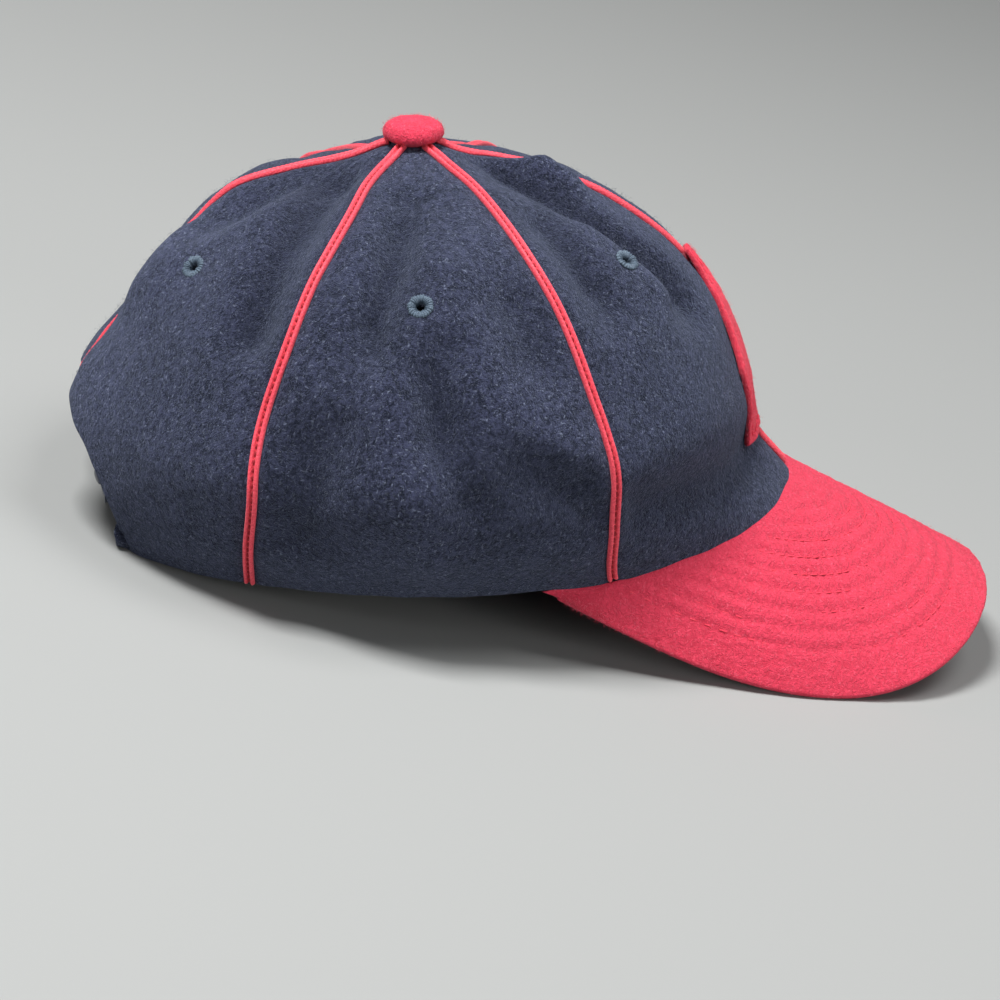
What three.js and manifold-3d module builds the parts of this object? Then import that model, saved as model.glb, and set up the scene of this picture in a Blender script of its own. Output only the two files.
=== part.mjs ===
// A six-panel wool ball cap: braided seams, a covered button, a bent stitched bill,
// a plain felt patch in front and a plastic snap strap across the arched opening behind.
// Millimetres. In the cap's own frame the axis runs up through the button (+Z), the front is
// towards -Y and the wearer's right towards -X. Angles go round from the front, + to the right.
// "Way" is the part of the way up the cloth, from the rim (0) to the button (1).
import * as THREE from "three";
import { mergeVertices } from "three/addons/utils/BufferGeometryUtils.js";
import Module from "manifold-3d";

const wasm = await Module();
wasm.setup();

const radians = THREE.MathUtils.degToRad;
const { lerp, smoothstep } = THREE.MathUtils;

// Driving dimensions of the crown
const CROWN_HEIGHT = 102.3;
const CLOTH = 2;
const GAP = 0.3;
const PUFF = 1.5;
const WAY_TOP = 0.92;
const CLOTH_LENGTH = 156;
const FAR_SIDE_FOLDS = 0.7;
const SEAM_DRIFT = radians(3);
const SEAM_DRIFT_WAY = 0.14;
const SEAM_DRIFT_SPREAD = radians(14);

// How far the outside of the crown reaches from the axis, at sections up the cloth
const SECTIONS = [
  { way: 0.0, front: 106, side: 71, back: 94 },
  { way: 0.1, front: 94.5, side: 82, back: 95.5 },
  { way: 0.2, front: 91.5, side: 86, back: 93.5 },
  { way: 0.34, front: 84, side: 78, back: 82.5 },
  { way: 0.47, front: 72.5, side: 68.5, back: 69.5 },
  { way: 0.61, front: 54.5, side: 54, back: 53.5 },
  { way: 0.76, front: 31, side: 27, back: 33.5 },
  { way: 0.9, front: 6.5, side: 5.5, back: 7 },
  { way: 1.0, front: 0, side: 0, back: 0 },
];

// Dents (depth above 0) and ridges (below 0) of the slack cloth, each along a line from
// (angle, way) to (toAngle, toWay), on the wearer's right
const FOLDS = [
  { angle: 24, way: 0.41, toAngle: 27, toWay: 0.77, width: 8, depth: 2.4 },
  { angle: 48, way: 0.49, toAngle: 47, toWay: 0.66, width: 7, depth: 1.6 },
  { angle: 55, way: 0.14, toAngle: 16, toWay: 0.08, width: 8, depth: 1.8 },
  { angle: 65, way: 0.29, toAngle: 79, toWay: 0.4, width: 7, depth: -1.4 },
  { angle: 66, way: 0.23, toAngle: 74, toWay: 0.26, width: 9, depth: 1.6 },
  { angle: 70, way: 0.43, toAngle: 70, toWay: 0.52, width: 8, depth: 1.5 },
  { angle: 84, way: 0.2, toAngle: 92, toWay: 0.4, width: 7, depth: 1.6 },
  { angle: 90, way: 0.1, toAngle: 98, toWay: 0.38, width: 7, depth: -1.5 },
  { angle: 102, way: 0.46, toAngle: 98, toWay: 0.67, width: 7, depth: 1.6 },
  { angle: 111, way: 0.14, toAngle: 112, toWay: 0.26, width: 9, depth: 2 },
  { angle: 128, way: 0.46, toAngle: 133, toWay: 0.78, width: 7, depth: 1.9 },
  { angle: 168, way: 0.57, toAngle: 154, toWay: 0.76, width: 7, depth: 1.6 },
  { angle: 164, way: 0.2, toAngle: 166, toWay: 0.3, width: 13, depth: -2.6 },
  { angle: 178, way: 0.36, toAngle: 180, toWay: 0.4, width: 10, depth: 0.9 },
];

// The bill: a flat outline bent round a cylinder that slopes down to the front
const BILL_LENGTH = 66;
const BILL_BEND = 76.4;
const BILL_SLOPE = radians(28.8);
const BILL_CORNER = radians(73.5);
const BILL_TIP_ANGLE = radians(89.3);
const BILL_FLARE = 5;
const BILL_ROUNDNESS = 0.79;
const BILL_THICK = 3.4;
const BILL_THICK_CORNER = 1.6;
const BILL_THIN_END = 0.3;
const FRONT_RIM = 4.5;
const RIM_LEVELS_OUT = radians(40);

// The opening behind: a half ellipse
const ARCH_HALF_ANGLE = radians(33);
const ARCH_WAY = 0.24;

// Seam braid: a flat band of two ribs
const TAPE_SECTION = [
  { across: -1.75, up: 0 },
  { across: -1.75, up: 0.7 },
  { across: -0.95, up: 1.3 },
  { across: 0, up: 0.8 },
  { across: 0.95, up: 1.3 },
  { across: 1.75, up: 0.7 },
  { across: 1.75, up: 0 },
];
const TAPE_THICK = 1.3;
const TAPE_TOP_WAY = 0.905;
const TAPE_ON_BILL_WAY = 0.005;

// Covered button: dome, shank through the crown and washer inside
const BUTTON_RADIUS = 8.5;
const BUTTON_THICK = 5.2;
const SHANK_RADIUS = 2.6;
const WASHER_RADIUS = 6.5;
const WASHER_THICK = 1;
const BUTTON_EDGE_WAY = 0.885;
const BUTTON_SKIRT = 0.3;
const BUTTON_UNDERCUT = 0.9;
const BUTTON_FULLNESS = 0.8;
const BUTTON_SIDES = 20;
const BUTTON_DOME_STEPS = 6;

// Sewn eyelets
const EYELET_BORE = 1.35;
const EYELET_SLEEVE = 1.9;
const EYELET_FLANGE = 3.3;
const EYELET_THICK = 0.85;
const EYELET_ROUND = 0.25;
const EYELET_SIDES = 12;
const EYELETS = [
  { place: "front", angle: 33, way: 0.545 },
  { place: "side", angle: 92, way: 0.54 },
  { place: "back", angle: 156, way: 0.525 },
];

// Felt patch: a five-sided plate with its point down
const PATCH_HALF_WIDTH = 21;
const PATCH_TIP_HALF_WIDTH = 2.5;
const PATCH_LOW_WAY = 0.1;
const PATCH_SHOULDER_WAY = 0.24;
const PATCH_HIGH_WAY = 0.46;
const PATCH_THICK = 1.6;
const PATCH_COLUMNS = [-1, -0.8, -0.6, -0.42, -0.26, -0.1, 0, 0.1, 0.26, 0.42, 0.6, 0.8, 1];
const PATCH_ROWS = 9;
const PATCH_GAP = 0.4;
const PATCH_RIDGE_HALF_WIDTH = 2.1;
const PATCH_RIDGE_FOOT = 10;

// Snap strap
const STRAP_THICK = 1.4;
const STRAP_TAUT = 7;
const STRAP_GAP = 0.6;
const STRAP_LOW_WAY = 0.034;
const STRAP_HIGH_WAY = 0.138;
const STRAP_SEWN_ANGLE = radians(46);
const STRAP_FREE_ANGLE = radians(22);
const STRAP_ROUND_ANGLE = radians(6);
const STRAP_END_OPEN = 0.35;
const PEG_PITCH = radians(6.4);
const PEG_COUNT = 6;
const PEG_RADIUS = 2.1;
const PEG_PROUD = 0.9;
const PEG_HOLE_RADIUS = 2.6;
const PEG_SIDES = 10;

// Rest: the cap leans back on its bill, and the cloth is pressed a little flat on the table
const REST_LEAN = radians(11.7);
const PRESSED = 0.6;

// Mesh counts, and the small step along the cloth that its slopes are taken over
const STEP = 0.004;
const PANEL_COLUMNS = 12;
const PANEL_ROWS = 16;
const BILL_COLUMNS = 28;
const BILL_ROWS = 7;
const STRAP_COLUMNS = 22;
const STRAP_ROWS = 2;

// Materials
function cloth(color, roughness) {
  return new THREE.MeshStandardMaterial({ color, roughness, metalness: 0 });
}
const navyWool = () => cloth(0x2a3145, 0.95);
const redWool = () => cloth(0xc62a44, 0.95);
const redBraid = () => cloth(0xd8303f, 0.7);
const blueThread = () => cloth(0x3c5266, 0.7);
const navyPlastic = () => cloth(0x1b2030, 0.4);

// The value of a column between its sections: a smooth curve that never overshoots a row
function slopeAt(rows, column, i) {
  const rise = (a, b) => (rows[b][column] - rows[a][column]) / (rows[b].way - rows[a].way);
  if (i === 0) return rise(0, 1);
  if (i === rows.length - 1) return rise(i - 1, i);
  const before = rise(i - 1, i);
  const after = rise(i, i + 1);
  return before * after <= 0 ? 0 : (2 * before * after) / (before + after);
}

function reach(column, way) {
  let i = 0;
  while (i < SECTIONS.length - 2 && way > SECTIONS[i + 1].way) i += 1;
  const low = SECTIONS[i];
  const high = SECTIONS[i + 1];
  const span = high.way - low.way;
  const t = (way - low.way) / span;
  const s = 1 - t;
  return (
    low[column] * s * s * (1 + 2 * t) +
    high[column] * t * t * (1 + 2 * s) +
    span * s * t * (s * slopeAt(SECTIONS, column, i) - t * slopeAt(SECTIONS, column, i + 1))
  );
}

// Top of the bill at a place in plan: the drop across the bend, and the slope to the front
function billTop(x, y) {
  const drop = BILL_BEND - Math.sqrt(BILL_BEND ** 2 - x ** 2);
  const ahead = y + SECTIONS[0].front;
  return FRONT_RIM + Math.tan(BILL_SLOPE) * ahead - drop / Math.cos(BILL_SLOPE);
}

function planPoint(angle, way) {
  const along = Math.cos(angle);
  const end = along > 0 ? reach("front", way) : reach("back", way);
  return new THREE.Vector2(-reach("side", way) * Math.sin(angle), -end * along);
}

// Height of the rim: along the bill in front, then level to the back
function rimHeight(angle) {
  const turn = Math.abs(angle);
  const at = planPoint(Math.min(turn, BILL_CORNER), 0);
  const onBill = billTop(at.x, at.y) + GAP;
  return onBill * (1 - smoothstep(turn, BILL_CORNER, BILL_CORNER + RIM_LEVELS_OUT));
}

// The same turn, between half a turn left and half a turn right
function halfTurn(angle) {
  return THREE.MathUtils.euclideanModulo(angle + Math.PI, 2 * Math.PI) - Math.PI;
}

// Sum of the dents at a place on the cloth, each fading away from its line
function foldDepth(angle, way) {
  const perRadian = reach("side", way);
  let sum = 0;
  for (const fold of FOLDS) {
    const lineAround = radians(fold.toAngle - fold.angle) * perRadian;
    const lineUp = (fold.toWay - fold.way) * CLOTH_LENGTH;
    const around = halfTurn(angle - radians(fold.angle)) * perRadian;
    const up = (way - fold.way) * CLOTH_LENGTH;
    const share = (around * lineAround + up * lineUp) / (lineAround ** 2 + lineUp ** 2);
    const t = THREE.MathUtils.clamp(share, 0, 1);
    const away = Math.hypot(around - t * lineAround, up - t * lineUp);
    sum += fold.depth * Math.exp(-((away / fold.width) ** 2));
  }
  return sum;
}

// Near the rim the front side seams pull a little to the back, and the cloth with them
function drifted(angle, way) {
  const fromSeam = (Math.abs(angle) - radians(60)) / SEAM_DRIFT_SPREAD;
  const pull = SEAM_DRIFT * (1 - smoothstep(way, 0, SEAM_DRIFT_WAY)) * Math.exp(-(fromSeam ** 2));
  return angle + Math.sign(angle) * pull;
}

// A point on the outside of the crown: plan sections on a sine of the way up, puffed between
// the seams and dented by the folds
function crownPoint(sewnAngle, way) {
  const angle = drifted(sewnAngle, way);
  const plan = planPoint(angle, way);
  const share = Math.sin((Math.PI / 2) * way);
  const rim = rimHeight(angle);
  const point = new THREE.Vector3(plan.x, plan.y, rim + (CROWN_HEIGHT - rim) * share);
  const puff = PUFF * Math.sin(3 * angle) ** 2 * Math.sin(Math.PI * share * share);
  const dents = foldDepth(angle, way) + FAR_SIDE_FOLDS * foldDepth(-angle, way);
  const outward = point.clone().sub(new THREE.Vector3(0, 0, CROWN_HEIGHT / 3)).normalize();
  return point.addScaledVector(outward, puff - dents);
}

function crownNormal(angle, way) {
  const around = crownPoint(angle + STEP, way).sub(crownPoint(angle - STEP, way));
  const up = crownPoint(angle, way + STEP).sub(crownPoint(angle, way - STEP));
  return up.cross(around).normalize();
}

// A point that stands off the crown's outside by a height
function offCrown(angle, way, height) {
  return crownPoint(angle, way).addScaledVector(crownNormal(angle, way), height);
}

// A geometry from points and triangles, turned so that its faces point out
function bodyFrom(points, triangles) {
  let volume = 0;
  for (const [a, b, c] of triangles) {
    volume += points[a].dot(points[b].clone().cross(points[c]));
  }
  const faces = volume > 0 ? triangles : triangles.map(([a, b, c]) => [a, c, b]);
  const geometry = new THREE.BufferGeometry().setFromPoints(points);
  geometry.setIndex(faces.flat());
  return geometry;
}

// Two triangles for each cell of a lattice of point numbers
function latticeFaces(numbers) {
  const faces = [];
  for (let r = 0; r + 1 < numbers.length; r += 1) {
    for (let c = 0; c + 1 < numbers[r].length; c += 1) {
      const a = numbers[r][c];
      const b = numbers[r][c + 1];
      const d = numbers[r + 1][c];
      const e = numbers[r + 1][c + 1];
      faces.push([a, b, e], [a, e, d]);
    }
  }
  return faces;
}

// A closed wall between two lattices of the same size
function wall(outside, inside) {
  const points = [...outside.flat(), ...inside.flat()];
  const columns = outside[0].length;
  const count = outside.length * columns;
  const numbers = outside.map((row, r) => row.map((_, c) => r * columns + c));
  const behind = numbers.map((row) => row.map((n) => n + count));
  const last = numbers.length - 1;
  const strips = [
    numbers,
    behind.map((row) => [...row].reverse()),
    [behind[0], numbers[0]],
    [numbers[last], behind[last]],
    numbers.map((row, r) => [behind[r][0], row[0]]),
    numbers.map((row, r) => [row[columns - 1], behind[r][columns - 1]]),
  ];
  return bodyFrom(points, strips.flatMap(latticeFaces));
}

// A closed bar through rings of points, with a fan of triangles at each end
function bar(rings) {
  const size = rings[0].length;
  const points = rings.flat();
  const numbers = rings.map((ring, r) => [...ring.keys(), 0].map((n) => r * size + n));
  const faces = latticeFaces(numbers);
  const ends = [
    { ring: numbers[0], flip: true },
    { ring: numbers[numbers.length - 1], flip: false },
  ];
  for (const { ring, flip } of ends) {
    const middle = points.length;
    const centre = new THREE.Vector3();
    ring.slice(0, size).forEach((n) => centre.addScaledVector(points[n], 1 / size));
    points.push(centre);
    for (let k = 0; k < size; k += 1) {
      faces.push(flip ? [middle, ring[k + 1], ring[k]] : [middle, ring[k], ring[k + 1]]);
    }
  }
  return bodyFrom(points, faces);
}

// Joins and cuts
function toSolid(geometry) {
  const bare = geometry.clone();
  bare.deleteAttribute("normal");
  bare.deleteAttribute("uv");
  const merged = mergeVertices(bare, 1e-4);
  return new wasm.Manifold(
    new wasm.Mesh({
      numProp: 3,
      vertProperties: new Float32Array(merged.attributes.position.array),
      triVerts: new Uint32Array(merged.index.array),
    }),
  );
}

function toGeometry(solid) {
  const mesh = solid.getMesh();
  const geometry = new THREE.BufferGeometry();
  geometry.setAttribute("position", new THREE.BufferAttribute(mesh.vertProperties, mesh.numProp));
  geometry.setIndex(new THREE.BufferAttribute(mesh.triVerts, 1));
  return geometry;
}

function cut(geometry, tools) {
  return toGeometry(tools.reduce((solid, tool) => solid.subtract(toSolid(tool)), toSolid(geometry)));
}

function join(geometry, additions) {
  return toGeometry(additions.reduce((solid, more) => solid.add(toSolid(more)), toSolid(geometry)));
}

// A round pin that stands square on the crown's surface, from one height to another
function pinOnCrown({ angle, way, radius, from, to, sides }) {
  const pin = new THREE.CylinderGeometry(radius, radius, to - from, sides);
  pin.translate(0, (from + to) / 2, 0);
  pin.applyQuaternion(standing(angle, way));
  const foot = crownPoint(angle, way);
  return pin.translate(foot.x, foot.y, foot.z);
}

function standing(angle, way) {
  const up = new THREE.Vector3(0, 1, 0);
  return new THREE.Quaternion().setFromUnitVectors(up, crownNormal(angle, way));
}

// Crown panels. A column of a panel has an angle and the way at which its cloth starts.
function evenColumns(from, to, count) {
  return Array.from({ length: count + 1 }, (_, i) => ({ angle: lerp(from, to, i / count), start: 0 }));
}

function archColumns(count) {
  return Array.from({ length: count + 1 }, (_, i) => {
    const turn = (Math.PI / 2) * (i / count);
    return {
      angle: Math.PI - ARCH_HALF_ANGLE * Math.cos(turn),
      start: ARCH_WAY * Math.sin(turn),
    };
  });
}

const PANEL_PLACES = [
  { place: "front", columns: evenColumns(0, radians(60), PANEL_COLUMNS) },
  { place: "side", columns: evenColumns(radians(60), radians(120), PANEL_COLUMNS) },
  {
    place: "back",
    columns: [
      ...evenColumns(radians(120), Math.PI - ARCH_HALF_ANGLE, PANEL_COLUMNS / 2).slice(0, -1),
      ...archColumns(PANEL_COLUMNS / 2),
    ],
  },
];

function panelLattice(columns, side, depth) {
  return Array.from({ length: PANEL_ROWS + 1 }, (_, r) =>
    columns.map(({ angle, start }, c) => {
      const way = lerp(start, WAY_TOP, r / PANEL_ROWS);
      const clear = GAP / 2 / reach("side", way);
      const shift = (c === 0 ? clear : 0) - (c === columns.length - 1 ? clear : 0);
      return offCrown(side * (angle + shift), way, -depth);
    }),
  );
}

// The table that the cap rests on, seen in the cap's own frame
function tableBelow(level) {
  const size = 600;
  const slab = new THREE.BoxGeometry(size, size, size);
  slab.translate(0, 0, level - size / 2);
  return slab.rotateX(REST_LEAN);
}

function panel(columns, side, eyelet, table) {
  const body = wall(panelLattice(columns, side, 0), panelLattice(columns, side, CLOTH));
  const vent = pinOnCrown({
    angle: side * radians(eyelet.angle),
    way: eyelet.way,
    radius: EYELET_SLEEVE + GAP,
    from: -3 * CLOTH,
    to: 3 * CLOTH,
    sides: EYELET_SIDES,
  });
  return cut(body, [vent, table]);
}

// Seam tape: the braid's section carried up the seam, square to the cloth
function tape(angle, start) {
  const rings = Array.from({ length: PANEL_ROWS + 1 }, (_, r) => {
    const way = lerp(start, TAPE_TOP_WAY, r / PANEL_ROWS);
    const foot = crownPoint(angle, way);
    const normal = crownNormal(angle, way);
    const ahead = crownPoint(angle, way + STEP).sub(crownPoint(angle, way - STEP));
    const side = ahead.cross(normal).normalize();
    return TAPE_SECTION.map(({ across, up }) =>
      foot.clone().addScaledVector(side, across).addScaledVector(normal, up + GAP),
    );
  });
  return bar(rings);
}

// Eyelet: a sewn ring on the cloth with a sleeve through it
function eyelet() {
  const profile = [
    [EYELET_BORE, -CLOTH],
    [EYELET_SLEEVE, -CLOTH],
    [EYELET_SLEEVE, GAP],
    [EYELET_FLANGE, GAP],
    [EYELET_FLANGE - EYELET_ROUND, GAP + EYELET_THICK - EYELET_ROUND],
    [(EYELET_BORE + EYELET_FLANGE) / 2, GAP + EYELET_THICK],
    [EYELET_BORE + EYELET_ROUND, GAP + EYELET_THICK - 2 * EYELET_ROUND],
    [EYELET_BORE, -CLOTH],
  ];
  return new THREE.LatheGeometry(
    profile.map(([r, h]) => new THREE.Vector2(r, h)),
    EYELET_SIDES,
  );
}

// Button: washer inside the crown, shank, and a dome that sits on the ends of the tapes
function button() {
  const stack = 2 * GAP + TAPE_THICK;
  const underEdge = crownPoint(0, BUTTON_EDGE_WAY).z + stack;
  const underShank = crownPoint(0, WAY_TOP).z + stack;
  const inside = crownPoint(0, BUTTON_EDGE_WAY).z - CLOTH - 2 * GAP;
  const dome = Array.from({ length: BUTTON_DOME_STEPS }, (_, i) => {
    const turn = (Math.PI / 2) * (i / BUTTON_DOME_STEPS);
    const rise = BUTTON_THICK * lerp(BUTTON_SKIRT, 1, Math.sin(turn));
    return [BUTTON_RADIUS * Math.cos(turn) ** BUTTON_FULLNESS, underEdge + rise];
  });
  const profile = [
    [0, inside - WASHER_THICK],
    [WASHER_RADIUS, inside - WASHER_THICK],
    [WASHER_RADIUS, inside],
    [SHANK_RADIUS, inside],
    [SHANK_RADIUS, underShank],
    [BUTTON_RADIUS * BUTTON_UNDERCUT, underEdge],
    ...dome,
    [0, underEdge + BUTTON_THICK],
  ];
  const geometry = new THREE.LatheGeometry(
    profile.map(([r, h]) => new THREE.Vector2(r, h)),
    BUTTON_SIDES,
  );
  return geometry.rotateX(Math.PI / 2);
}

// Bill: rows run from the crown out to the edge, all in the flat outline that is bent
function billFlat(turn, share) {
  const corner = planPoint(BILL_CORNER, 0);
  const flat = (x) => BILL_BEND * Math.asin(x / BILL_BEND);
  const inner = planPoint(BILL_CORNER * (turn / BILL_TIP_ANGLE), 0);
  const halfWidth = flat(-corner.x) + BILL_FLARE * Math.abs(Math.sin(2 * turn));
  const forward = SECTIONS[0].front + corner.y + BILL_LENGTH * Math.cos(BILL_SLOPE);
  const outer = {
    across: -halfWidth * Math.sin(turn),
    y: corner.y - forward * Math.cos(turn) ** BILL_ROUNDNESS,
  };
  const across = lerp(flat(inner.x), outer.across, share);
  return { x: BILL_BEND * Math.sin(across / BILL_BEND), y: lerp(inner.y, outer.y, share) };
}

function billPoint(turn, share, depth) {
  const { x, y } = billFlat(turn, share);
  const sideways = x / Math.sqrt(BILL_BEND ** 2 - x ** 2) / Math.cos(BILL_SLOPE);
  const normal = new THREE.Vector3(sideways, -Math.tan(BILL_SLOPE), 1).normalize();
  return new THREE.Vector3(x, y, billTop(x, y)).addScaledVector(normal, -depth);
}

function bill(table) {
  const lattice = (depthShare) =>
    Array.from({ length: BILL_ROWS + 1 }, (_, r) =>
      Array.from({ length: BILL_COLUMNS + 1 }, (_, c) => {
        const turn = BILL_TIP_ANGLE * ((2 * c) / BILL_COLUMNS - 1);
        const thick = lerp(BILL_THICK_CORNER, BILL_THICK, smoothstep(Math.cos(turn), 0, BILL_THIN_END));
        return billPoint(turn, r / BILL_ROWS, depthShare * thick);
      }),
    );
  return cut(wall(lattice(0), lattice(1)), [table]);
}

// Felt patch: draped on the crown and over the front tape
function patch() {
  const lattice = (height) =>
    Array.from({ length: PATCH_ROWS + 1 }, (_, r) => {
      const way = lerp(PATCH_LOW_WAY, PATCH_HIGH_WAY, r / PATCH_ROWS);
      const open = Math.min((way - PATCH_LOW_WAY) / (PATCH_SHOULDER_WAY - PATCH_LOW_WAY), 1);
      const half = lerp(PATCH_TIP_HALF_WIDTH, PATCH_HALF_WIDTH, open);
      return PATCH_COLUMNS.map((column) => {
        const x = column * half;
        const overTape = 1 - smoothstep(Math.abs(x), PATCH_RIDGE_HALF_WIDTH, PATCH_RIDGE_FOOT);
        const angle = Math.asin(x / reach("side", way));
        return offCrown(angle, way, PATCH_GAP + overTape * (TAPE_THICK + GAP) + height);
      });
    });
  return wall(lattice(PATCH_THICK), lattice(0));
}

// How far the strap lies inside the crown's line: against the wall where it is sewn,
// and pulled in across the opening
function strapDepth(turn) {
  return CLOTH + STRAP_GAP + STRAP_TAUT * (1 - smoothstep(Math.abs(turn), 0, ARCH_HALF_ANGLE));
}

// Straps: bands inside the cloth wall, with a rounded free end; the one with pegs passes behind
function strap(side, behind) {
  const lattice = (extra) =>
    Array.from({ length: STRAP_ROWS + 1 }, (_, r) =>
      Array.from({ length: STRAP_COLUMNS + 1 }, (_, c) => {
        const turn = lerp(-STRAP_SEWN_ANGLE, STRAP_FREE_ANGLE, c / STRAP_COLUMNS);
        const toEnd = Math.min((STRAP_FREE_ANGLE - turn) / STRAP_ROUND_ANGLE, 1);
        const open = Math.max(Math.sqrt(1 - (1 - toEnd) ** 2), STRAP_END_OPEN);
        const middle = (STRAP_LOW_WAY + STRAP_HIGH_WAY) / 2;
        const half = ((STRAP_HIGH_WAY - STRAP_LOW_WAY) / 2) * open;
        const way = middle + half * ((2 * r) / STRAP_ROWS - 1);
        const layer = behind * smoothstep(turn, -ARCH_HALF_ANGLE, -STRAP_FREE_ANGLE);
        return offCrown(Math.PI + side * turn, way, -strapDepth(turn) - layer - extra);
      }),
    );
  return wall(lattice(0), lattice(STRAP_THICK));
}

// Round pins through the straps, from a depth inside the outer strap's face to a height off it
function pegPins(radius, inside, proud) {
  return Array.from({ length: PEG_COUNT }, (_, i) => {
    const turn = PEG_PITCH * (i - (PEG_COUNT - 1) / 2);
    return pinOnCrown({
      angle: Math.PI + turn,
      way: (STRAP_LOW_WAY + STRAP_HIGH_WAY) / 2,
      radius,
      from: -strapDepth(turn) - inside,
      to: -strapDepth(turn) + proud,
      sides: PEG_SIDES,
    });
  });
}

function strapWithHoles() {
  return cut(strap(-1, 0), pegPins(PEG_HOLE_RADIUS, 2 * STRAP_THICK, STRAP_THICK));
}

function strapWithPegs() {
  const layer = STRAP_THICK + GAP;
  return join(strap(1, layer), pegPins(PEG_RADIUS, layer + STRAP_THICK / 2, PEG_PROUD));
}

// Assembly
const leaning = new THREE.Group();
leaning.rotation.x = -REST_LEAN;

function addPiece(name, geometry, material) {
  const mesh = new THREE.Mesh(geometry, material);
  mesh.name = name;
  leaning.add(mesh);
  return mesh;
}

const SIDES = [
  { hand: "right", side: 1 },
  { hand: "left", side: -1 },
];

// The lowest point of the leaning cap, which settles the table's level
function lowest(geometry) {
  const turned = geometry.clone().rotateX(-REST_LEAN);
  turned.computeBoundingBox();
  return turned.boundingBox.min.z;
}

const untouched = tableBelow(-CROWN_HEIGHT);
const backPanel = PANEL_PLACES[2];
const level = Math.max(
  lowest(panel(backPanel.columns, 1, EYELETS[2], untouched)),
  lowest(bill(untouched)),
) + PRESSED;
const table = tableBelow(level);

for (const { hand, side } of SIDES) {
  PANEL_PLACES.forEach(({ place, columns }, i) => {
    const vent = EYELETS[i];
    addPiece(`panel_${place}_${hand}`, panel(columns, side, vent, table), navyWool());
    const ring = addPiece(`eyelet_${place}_${hand}`, eyelet(), blueThread());
    const angle = side * radians(vent.angle);
    ring.position.copy(crownPoint(angle, vent.way));
    ring.quaternion.copy(standing(angle, vent.way));
  });
  addPiece(`tape_front_${hand}`, tape(side * radians(60), TAPE_ON_BILL_WAY), redBraid());
  addPiece(`tape_back_${hand}`, tape(side * radians(120), 0), redBraid());
}
addPiece("tape_front", tape(0, TAPE_ON_BILL_WAY), redBraid());
addPiece("tape_back", tape(Math.PI, ARCH_WAY), redBraid());
addPiece("button", button(), redWool());
addPiece("bill", bill(table), redWool());
addPiece("front_patch", patch(), redWool());
addPiece("strap_holes", strapWithHoles(), navyPlastic());
addPiece("strap_pegs", strapWithPegs(), navyPlastic());

// The origin is at the middle of the finished cap's underside
const cap = new THREE.Group();
cap.add(leaning);
cap.updateMatrixWorld(true);
const box = new THREE.Box3().setFromObject(cap, true);
const middle = box.getCenter(new THREE.Vector3());
cap.position.set(-middle.x, -middle.y, -box.min.z);

export default cap;
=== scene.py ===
# %% [markdown]
# # A wool ball cap, dressed piece by piece
# This lesson takes a ball cap that was built as plain solids and gives it the looks of the sewn thing:
# brushed wool, braid over the seams, thread and moulded plastic. Every shape is worked out with numpy,
# in millimetres and in the cap's own frame. There the axis goes up through the button, the bill points
# along -Y and the wearer's right is -X. Only the last step of a piece turns its points into metres.

import bpy
import numpy as np
from mathutils import Matrix


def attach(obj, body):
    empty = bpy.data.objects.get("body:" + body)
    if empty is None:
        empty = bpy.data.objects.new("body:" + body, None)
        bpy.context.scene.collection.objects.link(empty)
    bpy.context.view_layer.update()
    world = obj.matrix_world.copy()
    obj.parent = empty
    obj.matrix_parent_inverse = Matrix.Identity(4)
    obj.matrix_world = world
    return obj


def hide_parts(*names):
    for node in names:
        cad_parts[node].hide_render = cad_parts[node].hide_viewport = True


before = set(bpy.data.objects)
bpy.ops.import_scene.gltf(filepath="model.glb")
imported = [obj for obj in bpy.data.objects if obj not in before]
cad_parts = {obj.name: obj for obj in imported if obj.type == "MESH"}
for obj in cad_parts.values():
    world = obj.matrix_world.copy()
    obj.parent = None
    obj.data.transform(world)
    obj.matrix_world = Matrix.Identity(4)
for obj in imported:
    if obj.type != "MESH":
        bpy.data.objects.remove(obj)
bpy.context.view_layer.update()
scene = bpy.context.scene
print("plain solids:", len(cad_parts))

# %% [markdown]
# ## The crown as one function
# The crown is six gores of cloth, sewn together along six seams. Each gore could be modelled by hand, but
# then its seams would hardly meet. One function of two numbers is easier to keep whole: the angle around
# the axis (0 at the front, growing to the wearer's right) and the way up the cloth (0 at the rim, 1 at the
# button). Panels, tapes, eyelets, patch and strap all ask this function where the cloth is.

# %% Sizes of the crown
# Lengths are in mm, and the angles in tables are in degrees
CROWN_HEIGHT = 102.3
CROWN_MIDDLE = (0, 0, CROWN_HEIGHT / 3)
CLOTH = 2.0
GAP = 0.3
PUFF = 1.5
WAY_TOP = 0.92
CLOTH_LENGTH = 156.0
FAR_SIDE_FOLDS = 0.7
SLACKER = 1.7
TAUT_WIDTH = 5.0
SEAM_DRIFT = np.radians(2.2)
SEAM_DRIFT_WAY = 0.11
SEAM_DRIFT_SPREAD = np.radians(14)
FRONT, SIDE, BACK = 1, 2, 3

# Way up, then the crown's reach to the front, to the side and to the back
SECTIONS = np.array([
    (0.00, 106.0, 71.0, 94.0),
    (0.10, 94.5, 82.0, 95.5),
    (0.20, 91.5, 86.0, 93.5),
    (0.34, 84.0, 78.0, 82.5),
    (0.47, 72.5, 68.5, 69.5),
    (0.61, 54.5, 54.0, 53.5),
    (0.76, 31.0, 27.0, 33.5),
    (0.90, 6.5, 5.5, 7.0),
    (1.00, 0.0, 0.0, 0.0),
])

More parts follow.
